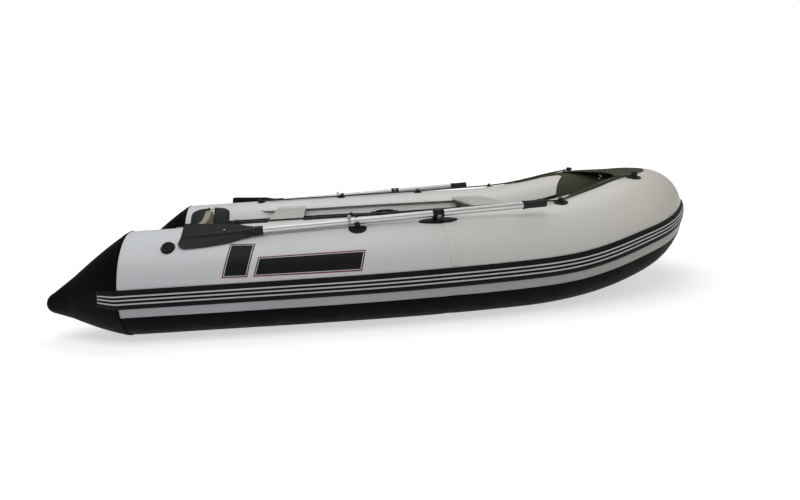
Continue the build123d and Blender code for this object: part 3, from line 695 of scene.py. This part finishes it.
# ---- the bottom, from one tube's underside to the other's
KEEL_HALF = 0.08  # half the flat keel's width, as a share of half the bottom's
bottom_runs = np.r_[TRANSOM_X, 0.25:STRAIGHT:8j, np.interp(np.linspace(2, 80, 50), TURNS, RUNS)]
bottom_edge = skin(bottom_runs, 240.0, -0.016)
keel = section(bottom_runs)[0][:, 2:] - RADIUS + 0.005
across = np.r_[1:KEEL_HALF:14j, -KEEL_HALF:-1:14j]
share = (np.abs(across) - KEEL_HALF) / (1 - KEEL_HALF)
low_z = keel + (bottom_edge[:, 2:] - keel) * share + 0.002 * np.sin(np.pi * share)
under = joined(bottom_edge[:, :1], -bottom_edge[:, 1:2] * across, low_z)
bottom = np.concatenate([under, under[:, ::-1] + (0, 0, 0.007)], 1)
bottom_uv = joined(bottom_runs[:, None], np.r_[across, across[::-1] + 2.5] * 0.4)
hull_piece("bottom_fabric", grid(bottom, bottom_uv, wrap=True), [BLACK], "black_fabric", "hull_bottom")

# ---- the benches, and the flaps that they rest on
LEDGE = 0.79 * RADIUS  # how far above the tube's axis the flaps lie
FLAP_PROFILE = SHARE_MM * [(-0.004, 0), (0.3, 0.4), (0.8, -0.6), (0.97, -1.5), (1, -3.2), (0.94, -4.8), (0.6, -4.2),
                           (0.2, -5), (0, -6.2)]
flap_runs = np.linspace(run_at(0.48), run_at(1.960), 90)
flap_ends = np.minimum(flap_runs - flap_runs[0], flap_runs[-1] - flap_runs) / 0.075
flap_width = 0.041 * np.clip(flap_ends, 0.02, 1) ** 0.7
flap_root = 0.001 - math.sqrt(RADIUS**2 - LEDGE**2)
centre, outward, upward, _ = section(flap_runs)
flap = [centre + (flap_root - flap_width * share)[:, None] * outward + (LEDGE + height) * upward + (STERN_X, 0, 0)
        for share, height in FLAP_PROFILE]
both("bench_flap", merge(
    grid(np.stack(flap, 1), joined(flap_runs[:, None], np.linspace(0, 0.09, len(FLAP_PROFILE)))),
    tape(flap_runs, 127 - 7 * np.clip(flap_ends, 0, 1), 127.6, 0.0013),
    tape(flap_runs, 130.2, 135, 0.0013),
), [WHITE], "bench_rail")


def box_middle(node_name):
    """The middle and the half size of a CAD piece's box."""
    low, high = (np.array(v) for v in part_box(node_name))
    return (low + high) / 2, (high - low) / 2


def board(node_name, corner=0.022, roll=0.006):
    """A bench's board: round-cornered in plan, with rolled edges."""
    middle, half = box_middle(node_name)
    round_plan = joined(np.cos(circle(96)), np.sin(circle(96)))
    plan = np.sign(round_plan) * (half[:2] - corner) + corner * round_plan
    rings = [(share, -half[2], 0) for share in (1e-4, 0.5, 0.9)]
    for a in np.radians((-90, -67.5, -45, -22.5, 22.5, 45, 67.5, 90)):
        rings.append((1, (half[2] - roll) * np.sign(a) + roll * math.sin(a), roll * (1 - math.cos(a))))
    rings += [(share, half[2], 0) for share in (0.9, 0.5, 1e-4)]
    points = [np.c_[middle[:2] + share * (plan - np.sign(plan) * inset), np.full(len(plan), middle[2] + z)]
              for share, z, inset in rings]
    return grid(np.array(points), wrap=True)


add_piece("rear_bench_board", board("rear_bench"), [BENCH], "rear_seat", ("rear_bench",))
hull_piece("front_bench_board", board("front_bench"), [BENCH], "bench_board", "front_bench")

# ---- transom: grips, board, pads, screws, drain plug
GRIP_HALF_LENGTH, GRIP_HALF_HEIGHT, GRIP_ANGLE = 0.126, 0.104, 140.5
GRIP_RUN = TRANSOM_X + TRANSOM_THICK / 2
SLOT_HALF = TRANSOM_THICK / 2 + 0.0006


def grip_half(side):
    """Half of a moulded grip on the tube, ahead of the board (1) or behind it (-1), with a lip along it."""
    a, b = GRIP_HALF_LENGTH - (0.020 if side > 0 else 0.002), GRIP_HALF_HEIGHT
    u = np.r_[SLOT_HALF + np.array([0, 0, 0.003, 0.007]), SLOT_HALF + 0.014:a * 0.9995:18j][:, None]
    v = b * np.clip(1 - (u / a) ** 4, 0, 1) ** 0.25 * np.linspace(-1, 1, 33)
    out = ((u / a) ** 4 + (v / b) ** 4) ** 0.25
    lip = 0.012 * np.exp(-(((u - SLOT_HALF) / 0.01) ** 2)) * (1 - out**8)
    height = 0.0125 * np.clip(1 - out**9, 0, 1) ** 0.5 + lip
    height[0] = -0.001
    height = np.where(out > 0.998, GLUE, height)
    return grid(skin(GRIP_RUN + side * u, GRIP_ANGLE + np.degrees(v / RADIUS), height)[:, ::side])


def screw(frame_, radius):
    """A domed screw head with a cross recess."""
    def recess(share, t):
        cross = np.minimum(abs(np.sin(t)), abs(np.cos(t))) * share < 0.16
        return -0.25 * radius * (cross & (share < 0.62))
    dome = ((1e-3, 0.5), (0.3, 0.49), (0.58, 0.42), (0.66, 0.38), (0.88, 0.2), (1, 0.0))
    profile = [(share, radius * height) for share, height in dome] + [(1, -0.001)]
    return disc(frame_, profile, ellipse(radius, radius), 32, 0, recess)


grip_base = patch(GRIP_RUN - 0.009, GRIP_ANGLE, [(0.0, 0.00045), (0.97, 0.00045), (1.0, 0.0003), (1.0, -0.0005)],
                  ellipse(GRIP_HALF_LENGTH - 0.002, GRIP_HALF_HEIGHT - 0.002, 4.0), 72)
both("transom_grip", merge(grip_half(1), grip_half(-1), grip_base), [GREY_RUBBER], "transom_holder")

TRANSOM_DIP, ROUNDING, BOARD_GAP = 0.394, 0.004, 0.0006
TRANSOM_TOP_MM = ((-438, 400), (-430, 418), (-417, 431), (-400, 437.5), (-380, 438), (-355, 434.5), (-325, 425),
                  (-290, 412), (-250, 402.5), (-200, 397), (-140, 394.5), (-70, 394), (0, 394))
board_low, board_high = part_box("transom_board")
half_outline = np.concatenate([
    [(0.0, board_low.z), (-0.035, board_low.z)],
    skin(TRANSOM_X, np.r_[240, 236:138:34j], BOARD_GAP)[:, 1:],
    np.array(TRANSOM_TOP_MM) / 1000,
])
outline = np.concatenate([half_outline, (half_outline * (-1, 1))[-2:0:-1]])
inward = unit((0.0, 0.25) - outline)
rings = []
for face_x, sign in ((board_low.x, 1), (board_high.x, -1)):
    for a in np.radians((90, 60, 30, 0)[::sign]):
        x = face_x + sign * ROUNDING * (1 - math.sin(a))
        rings.append(np.c_[np.full(len(outline), x), outline + inward * ROUNDING * (1 - math.cos(a))])
plate = with_ends(grid(np.array(rings), wrap=True), len(rings), len(outline))
hull_piece("transom_plate", plate, [TRANSOM], "transom_plywood", "transom_board")

screws = []
for name, side in (("outer_motor_pad", -1), ("inner_motor_pad", 1)):
    low, high = (np.array(v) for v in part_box(name))
    high[2] = TRANSOM_DIP - 0.010
    hull_piece(name.replace("motor_pad", "clamp_pad"), rounded_box(low, high, 0.0028), [PAD], "pad_plastic", name)
    middle, half = (low + high) / 2, (high - low) / 2
    for y, z in ((-1, -1), (-1, 1), (1, -1), (1, 1)):
        at = middle + (side * half[0], y * (half[1] - 0.022), z * (half[2] - 0.022))
        screws.append(screw((at, (0, side, 0), (0, 0, 1), (side, 0, 0)), 0.0055))
hull_piece("pad_screws", merge(*screws), [STEEL], "oar_aluminium")


def plug_relief(share, t):
    """A knurled rim and a bar across the middle."""
    rim = (np.cos(t * 12) > 0.2) & (share > 0.86) & (share < 0.99)
    bar = (np.abs(share * np.sin(t)) < 0.17) & (share < 0.6)
    return 0.0022 * rim + 0.004 * bar


PLUG_PROFILE = SHARE_MM * [(1e-3, 9), (0.3, 9), (0.58, 8.8), (0.62, 7.5), (0.84, 7.5), (0.88, 10), (0.97, 9.5),
                           (1, 7), (1, 0)]
middle, half = box_middle("drain_plug")
plug_frame = (middle + (half[0], 0, 0), (0, -1, 0), (0, 0, 1), (-1, 0, 0))
plug = disc(plug_frame, PLUG_PROFILE, ellipse(half[1], half[2]), 72, 0, plug_relief)
hull_piece("drain_plug_cap", plug, [PLASTIC], "black_plastic", "drain_plug")

# ---- valves, handles, panels
VALVE_PROFILE = SHARE_MM * [
    (1e-3, 6.2), (0.1, 6.2), (0.16, 5.6), (0.18, 3.0), (0.3, 2.6), (0.45, 2.6), (0.58, 2.8), (0.62, 3.4), (0.66, 7.4),
    (0.7, 8.4), (0.8, 8.7), (0.9, 8.4), (0.955, 7.0), (0.99, 4.5), (1.0, 3.0), (1.0, -3.5)]


def valve_relief(share, t):
    ribs = (np.abs(np.sin(3 * t)) * share < 0.13) & (share > 0.16) & (share < 0.6)
    grips = (np.cos(t * 20) > 0) & (share > 0.7) & (share < 0.92)
    return 0.0024 * ribs + 0.0012 * grips


def valve(x, angle):
    flange = patch(run_at(x), angle, pad_profile(0.0012, 0.05), ellipse(0.0315, 0.0315), 48, 1)
    return merge(disc(skin_frame(x, angle), VALVE_PROFILE, ellipse(0.029, 0.029), 80, 0, valve_relief), flange)


both("valve_cap", valve(0.207, 47), [PLASTIC, GREY_RUBBER], "valve")
hull_piece("bow_valve_cap", valve(1.560, 150), [PLASTIC, GREY_RUBBER], "black_plastic", "bow_valve")

HANDLE_X, HANDLE_ANGLE, HANDLE_HALF = 1.283, 148.0, 0.078
u = np.linspace(-1, 1, 33)
handle_path = joined(HANDLE_HALF * u, 0, 0.002 + 0.037 * np.clip(1 - np.abs(u) ** 2.6, 0, 1))
handle_radius = 0.0100 + 0.0006 * np.sin(u * 60) * (abs(u) < 0.6)
handle = [tube(place(handle_path, skin_frame(HANDLE_X, HANDLE_ANGLE)), handle_radius, 14, flat=0.8)]
for foot_run in (run_at(HANDLE_X) - HANDLE_HALF, run_at(HANDLE_X) + HANDLE_HALF):
    handle.append(patch(foot_run, HANDLE_ANGLE, pad_profile(0.0045, 0.2), ellipse(0.019, 0.017), 36))
both("carry_handle", merge(*handle), [PLASTIC], "handle")


def panel(corners, length, width):
    """A blank glued panel with a thin red edge and a pale line inside it.

    Corners are (run, angle), from the top aft one round.
    """
    def steps(size, inner):
        rim = np.array([0, 0.0028, 0.0055, 0.0085]) / size
        return np.r_[rim, np.linspace(rim[-1], 1 - rim[-1], inner)[1:-1], 1 - rim[::-1]]

    u, v = np.meshgrid(steps(length, 26), steps(width, 14), indexing="ij")
    runs, angles = ((1 - v) * ((1 - u) * d + u * c) + v * ((1 - u) * a + u * b) for a, b, c, d in zip(*corners))
    from_rim = np.minimum(np.minimum(u, 1 - u) * length, np.minimum(v, 1 - v) * width)
    n, m = u.shape

    def kind(i, j):
        return {0: 1, 2: 2}.get(min(i, n - 2 - i, j, m - 2 - j), 0)
    return skin_grid(runs, angles, np.where(from_rim < 1e-6, -0.0001, 0.0009), kind)


both("blank_panels", merge(
    panel(((0.476, 47.0), (0.584, 45.5), (0.548, 9.0), (0.44, 9.5)), 0.108, 0.15),
    panel(((0.596, 29.5), (1.045, 30.0), (1.021, 8.0), (0.572, 9.0)), 0.449, 0.085),
), [VINYL, RED_LINE, PALE_LINE])

# ---- rope eyes (x, angle, height, size) and lifeline
BOW_EYE_X = float(np.interp(2.512, RUNS, BOW_POINTS[:, 0]))
EYES = ((0.48, 100.0, 0.009, 0.026), (1.010, 100.0, 0.009, 0.026), (1.515, 97.0, 0.009, 0.026),
        (1.990, 75.0, 0.012, 0.036), (BOW_EYE_X, 76.5, 0.016, 0.038))
OVER_CREST = ((2.06, 81.5, 0.0075), (2.13, 85.5, 0.0058), (2.21, 88.3, 0.0056), (2.30, 88.6, 0.0056),
              (2.39, 87.8, 0.0056), (2.47, 84.0, 0.008))  # (run, angle, height) of the rope between the last two
EYE_FOOT = SHARE_MM * [(1e-3, 7.5), (0.5, 7.2), (0.8, 5.5), (1, 3), (1, -1)]
ROPE_RADIUS, KNOT_STRAND = 0.0046, 0.0042


def rope_eye(x, angle, height, size):
    """Three moulded rings on a foot and a glued pad; a high one stands on a stem."""
    where = skin_frame(x, angle)
    parts = [patch(run_at(x), angle, pad_profile(0.0032, 0.2), ellipse(size, size * 0.8)),
             disc(where, EYE_FOOT, ellipse(size * 0.55, size * 0.38), 28, 1)]
    t = np.linspace(0, 2 * np.pi, 29)
    for offset in (-0.0045, 0.0, 0.0045):
        ring = joined(offset, 0.0098 * np.cos(t), height + 0.0098 * np.sin(t))
        parts.append(tube(place(ring, where), 0.004, 10, 1, capped=False))
    if height > 0.014:
        stem = [(0, 0, z) for z in (0.0005, height * 0.4, height - 0.007)]
        parts.append(tube(place(stem, where), [0.01, 0.0085, 0.0095], 14, 1))
    return merge(*parts)


def knot(centre, along, outward):
    """A stopper knot: one turn of rope drawn tight round its own end."""
    t = np.linspace(0, 4.3 * np.pi, 60)
    turns = np.outer(np.cos(t), outward) + np.outer(np.sin(t), np.cross(along, outward))
    return tube(centre + np.outer(0.0132 * (t / t[-1] - 0.5), along) + 0.0068 * turns, KNOT_STRAND, 10)


both("lifeline_eyes", merge(*[rope_eye(*eye) for eye in EYES]), [PLASTIC, GREY_RUBBER], "rope_eyes")
knots = [skin(run_at(x), angle, height) for x, angle, height, _ in EYES]
knots[-1:-1] = [skin(*spot) for spot in OVER_CREST]
rope = []
for first, second in zip(knots, knots[1:]):
    rope += [*np.linspace(first, second, max(6, int(np.linalg.norm(second - first) / 0.009)), endpoint=False)]
rope = np.array(rope + knots[-1:])
for _ in range(6):
    rope[1:-1] = (rope[:-2] + 2 * rope[1:-1] + rope[2:]) / 4
(_, along, _, outward), (_, along_end, _, outward_end) = (skin_frame(*eye[:2]) for eye in (EYES[0], EYES[-1]))
tails = [rope[0] - along * k for k in (0.026, 0.014)], [rope[-1] + along_end * k for k in (0.014, 0.024)]
rope = np.concatenate([tails[0], rope, tails[1]])
knotted = merge(tube(rope, ROPE_RADIUS, 10), knot(rope[1], along, outward), knot(rope[-2], along_end, outward_end))
both("lifeline_rope", knotted, [ROPE], "lifeline")

# ---- towing eye at the bow
TOW_ANGLE = -32.0
TOW_RING = MM * [(-5.5, 8.1), (-6, 9), (-6, 14.5), (-4.5, 16), (4.5, 16), (6, 14.5), (6, 9), (5.5, 8.1), (-5.5, 8.1)]
TOW_ROOT = SHARE_MM * [(1e-3, 8.5), (0.6, 7.5), (0.9, 5.5), (1, 3), (1, -2)]
tow_frame = skin_frame(STRAIGHT + BOW, TOW_ANGLE)
ring_frame = (tow_frame[0] + tow_frame[3] * 0.019, *tow_frame[1:])
hull_piece("tow_eye_ring", merge(
    patch(HALF_RUN, TOW_ANGLE, pad_profile(0.0038, 0.15), ellipse(0.035, 0.035), 56),
    turned(ring_frame, TOW_RING, 40, 1),
    disc(tow_frame, TOW_ROOT, ellipse(0.016, 0.02), 36, 1),
), [RAIL, PLASTIC], "black_plastic", "tow_eye")

# ---- oars, in a frame on the oarlock's pin: x to the grip, y inboard, z off the skin
joints = {j["name"]: j for j in frame["joints"]}
PIN = np.array(joints["starboard_oar_swing"]["pos_m"], float)
OFF_SKIN = np.array(joints["starboard_oar_swing"]["axis"], float)
LATERAL = np.array(joints["starboard_oar_lift"]["axis"], float)
LEVEL = np.cross(LATERAL, OFF_SKIN)
PITCH, ROLL = math.radians(2.3), math.radians(26)
OAR_X = math.cos(PITCH) * LEVEL + math.sin(PITCH) * OFF_SKIN
OAR_FRAME = (PIN, OAR_X, LATERAL, np.cross(OAR_X, LATERAL))
BLADE_Y = math.cos(ROLL) * LATERAL + math.sin(ROLL) * OAR_FRAME[3]
BLADE_FRAME = (PIN, OAR_X, BLADE_Y, np.cross(OAR_X, BLADE_Y))
SHAFT = 0.015  # its radius

shaft = [(-770, 0), (-770, 15), *((x, 15) for x in np.linspace(-740, 370, 60)), (385, 15), (385, 0)]
clip = [(-398, 15.1), (-398, 18.5), (-396, 19.2), (-388, 19.2), (-386, 18.5), (-386, 15.1)]
rib = ((0, 16.5), (1.2, 17.3), (4.2, 17.3), (5.4, 16.5))
ribs = [(393 + 6.2 * k + x, radius) for k in range(13) for x, radius in rib]
grip = [(379, 15.2), (380, 18.5), (383, 19.2), (388, 19)] + ribs
grip += [(476, 17.2), (481, 17.2), (484.5, 15), (485, 10), (485, 0)]
collar = [(-23.8, 15.1), (-24, 19.5), (-22.8, 20.8), (-20, 20.8), (-18.5, 19), (-9, 18.8)]
collar += [(-x, radius) for x, radius in collar[::-1]]
neck = [(-895, 3), (-870, 8.5), (-845, 13), (-820, 17.2), (-800, 18.8), (-772, 19), (-769, 18.2), (-768, 15.2)]
lug = rounded_box((-0.399, -0.006, 0.0145), (-0.385, 0.006, 0.03), 0.0022, 2, OAR_FRAME)
both("oar_tube", turned(OAR_FRAME, MM * shaft, 32), [OAR_METAL], "oar_shaft", "oar")
both("oar_clip", merge(turned(OAR_FRAME, MM * clip, 32), lug), [CLIP], None, "oar")
both("oar_handle", turned(OAR_FRAME, MM * grip, 32), [GRIP], "oar_grip", "oar")
both("oar_sleeve", turned(OAR_FRAME, MM * collar, 40), [PLASTIC], "oar_collar", "oar")

# The blade, over depth from its neck to its tip and w across it from edge to edge.
depth = np.r_[0, 0.02:0.93:40j, 0.955, 0.975, 0.99, 1.0][:, None]
w = np.r_[-1:-0.9:4j, -0.85:0.85:35j, 0.9:1:4j]
tip = np.sqrt(np.clip(1 - ((depth - 0.9) / 0.101).clip(0, 1) ** 2.4, 0, 1))
above = np.interp(depth, (0, 0.1, 0.19, 0.3, 0.575, 0.94, 1), (0.019, 0.022, 0.029, 0.045, 0.0565, 0.069, 0.069))
below = np.interp(depth, (0, 0.09, 0.236, 0.433, 0.68, 0.9, 1), (0.019, 0.0205, 0.031, 0.048, 0.0555, 0.0555, 0.054))
for half_width in (above, below, above, below):
    half_width[1:-1] = (half_width[:-2] + 2 * half_width[1:-1] + half_width[2:]) / 4
above, below = above * (0.75 + 0.25 * tip), below * (0.45 + 0.55 * tip)
from_middle = w * (above + below) / 2
rim = np.clip((1 - np.abs(w)) / 0.06, 0, 1)
relief = np.exp(-((from_middle / 0.0075) ** 4)) * (0.0055 * (1 - depth**1.5) + 0.0012)
relief = relief + 0.0012 * np.exp(-(((1 - np.abs(w)) / 0.05 - 0.8) ** 2) * 3)
for side in (-1, 1):
    relief = relief + 0.0007 * np.exp(-(((from_middle - side * (0.012 + 0.032 * depth)) / 0.0032) ** 2))
thick = (0.0024 + 0.0010 * (1 - depth)) * np.sqrt(np.clip(1 - (1 - rim) ** 2, 0, 1))
top = (thick + relief * (rim > 0.5)) * np.clip((1 - depth) / 0.02, 0, 1)
spoon = -0.004 * w**2 * np.sin(np.pi * depth)
blade_x = -0.770 - 0.365 * depth + 0.0105 * (w + 1) * depth**3
blade_y = w * np.where(w > 0, above, below)
upper, lower = (joined(blade_x, blade_y, spoon + side * top) for side in (1, -1))
blade_points = place(np.concatenate([upper, lower[:, ::-1]], 1), BLADE_FRAME)
blade = [grid(blade_points[::-1], wrap=True), turned(OAR_FRAME, MM * neck, 28)]
for spot in ((-0.806, 0.01, 0.0155), (-0.936, 0.017, 0.0052)):
    rivet = SHARE_MM * [(1e-3, 2.2), (0.6, 1.8), (1, 0), (1, -3)]
    blade.append(disc((place(spot, BLADE_FRAME), *BLADE_FRAME[1:]), rivet, ellipse(0.004, 0.004), 20, 1))
both("oar_blade_plate", merge(*blade), [BLADE, STEEL], "oar_blade", "oar")

# ---- oarlocks: glued base with a raised boss, pins' heads
LOCK_X = 1.374
BOSS = SHARE_MM * [(1e-3, 6.9), (0.5, 6.9), (0.85, 6.6), (1, 5), (1.12, 3.5), (1.2, -1)]
PIN_WASHER = MM * [(-0.5, 8.5), (1.2, 8.5), (1.4, 6)]


def base_relief(share, t):
    return 0.0010 * np.exp(-(((share - 0.8) / 0.05) ** 2))


both("oarlock_pad", merge(
    patch(run_at(LOCK_X), 62.0, pad_profile(0.004, 0.14), ellipse(0.086, 0.021), 72, 0, base_relief),
    disc(skin_frame(LOCK_X, 64.5), BOSS, ellipse(0.023, 0.023)),
), [PLASTIC], "oarlock_base")
heads = []
for side in (-1, 1):
    at = PIN + LATERAL * side * 0.0276
    heads.append(screw((at, LEVEL * side, OFF_SKIN, LATERAL * side), 0.0045))
    heads.append(turned((at, LATERAL * side, LEVEL, OFF_SKIN), PIN_WASHER, 28))
both("oarlock_pin_heads", merge(*heads), [STEEL], None, "oarlock")

# ---- oar rests: half-oval pad, with a post and a lip on either side of the shaft
REST_X, REST_ANGLE = 1.022, 58.0
rest_frame = skin_frame(REST_X, REST_ANGLE)
over = PIN + OAR_X * (rest_frame[0][0] - PIN[0]) / OAR_X[0] - rest_frame[0]
over_y, over_z = float(over @ rest_frame[2]), float(over @ rest_frame[3])
post_y, lip_y = over_y + SHAFT + 0.002, over_y - SHAFT - 0.0075
lip = [(0, lip_y, z) for z in (0.0, over_z * 0.3, over_z * 0.6, over_z * 0.9, over_z + 0.006, over_z + 0.0105)]


def half_oval(t):
    edge = ellipse(0.039, 0.031, 2.2)(t)
    edge[:, 1] = np.minimum(edge[:, 1], 0.014)
    return edge


both("oar_rest_post", merge(
    patch(run_at(REST_X), REST_ANGLE, pad_profile(0.003, 0.14), half_oval, 56),
    rounded_box((-0.0075, post_y, 0.0), (0.0075, post_y + 0.005, over_z + 0.0075), 0.0018, 2, rest_frame),
    rounded_box((-0.012, post_y - 0.004, 0.0), (0.012, post_y + 0.009, 0.008), 0.0025, 2, rest_frame),
    tube(place(lip, rest_frame), [0.016, 0.0145, 0.0135, 0.012, 0.009, 0.004], 20, flat=0.36),
), [PLASTIC], "oar_rest")

# ---- floor, light and camera
FLOOR_CORNERS = [(-30, -20, -0.001), (30, -20, -0.001), (30, 30, -0.001), (-30, 30, -0.001)]
floor_mesh = bpy.data.meshes.new("studio_floor")
floor_mesh.from_pydata(FLOOR_CORNERS, [], [(0, 1, 2, 3)])
floor = new_object("studio_floor", floor_mesh)


def maths(operation, first, second):
    return node(first.id_data, "Math", {"operation": operation}, i0=first, i1=second).outputs[0]


# The floor glows, more so away from the boat, but only for the camera, in reflections and through clear things.
floor_material, tree, surface = shader("studio_floor", 0.9, specular=0.1)
feed(surface, Base_Color=(0.74, 0.74, 0.74, 1))
ray = node(tree, "LightPath").outputs
seen = maths("MAXIMUM", ray["Is Camera Ray"], ray["Is Glossy Ray"])
seen = maths("MAXIMUM", seen, ray["Is Transmission Ray"])
where = node(tree, "NewGeometry").outputs["Position"]
away = node(tree, "VectorMath", {"operation": "LENGTH"}, i0=where).outputs["Value"]
strength = maths("MULTIPLY", seen, spread(away, 0.58, 1.0, (2.2, 6.0)))
glow = node(tree, "Emission", Color=(1, 1, 1, 1), Strength=strength).outputs[0]
total = node(tree, "AddShader", i0=surface.outputs[0], i1=glow).outputs[0]
feed(tree.nodes["Material Output"], Surface=total)
floor_mesh.materials.append(floor_material)

world = bpy.data.worlds.new("studio")
bpy.context.scene.world = world
world.use_nodes = True
tree = world.node_tree
sky = feed(tree.nodes["Background"], i0=(0.97, 0.985, 1.0, 1), i1=0.26)
white = node(tree, "Background", Color=(1, 1, 1, 1), Strength=1.0).outputs[0]
ray = node(tree, "LightPath").outputs
seen = maths("MAXIMUM", ray["Is Camera Ray"], ray["Is Transmission Ray"])
mixed = node(tree, "MixShader", i0=seen, i1=sky.outputs[0], i2=white).outputs[0]
feed(tree.nodes["World Output"], Surface=mixed)


def lamp(name, at, towards, size, power, colour=(1, 1, 1)):
    data = bpy.data.lights.new(name, "AREA")
    data.shape, data.size, data.size_y = "RECTANGLE", size[0], size[1]
    data.energy, data.color = power, colour
    made = new_object(name, data)
    made.location = at
    made.rotation_euler = (Vector(towards) - Vector(at)).to_track_quat("-Z", "Y").to_euler()


lamp("key", (-1.0, -2.6, 4.2), (0, 0, 0.3), (5.0, 2.6), 80)
lamp("top", (0.4, 1.4, 4.6), (0, 0, 0.3), (5.5, 3.0), 84)
lamp("side", (4.6, -2.0, 2.6), (0.6, 0, 0.4), (2.5, 2.5), 20, (1.0, 0.95, 0.86))

lens = bpy.data.cameras.new("camera")
lens.sensor_width, lens.lens, lens.shift_x, lens.shift_y = 36, 26.086, 0.1023, -0.1240
camera = new_object("camera", lens)
right, up, back, eye_point = (0.998, 0, -0.0632), (0.0632, 0, 0.998), (0, -1, 0), (0.8753 + STERN_X, -3.2579, 0.7728)
camera.matrix_world = Matrix([*zip(right, up, back, eye_point), (0, 0, 0, 1)])
bpy.context.scene.camera = camera
bpy.context.scene.view_settings.view_transform = "Standard"
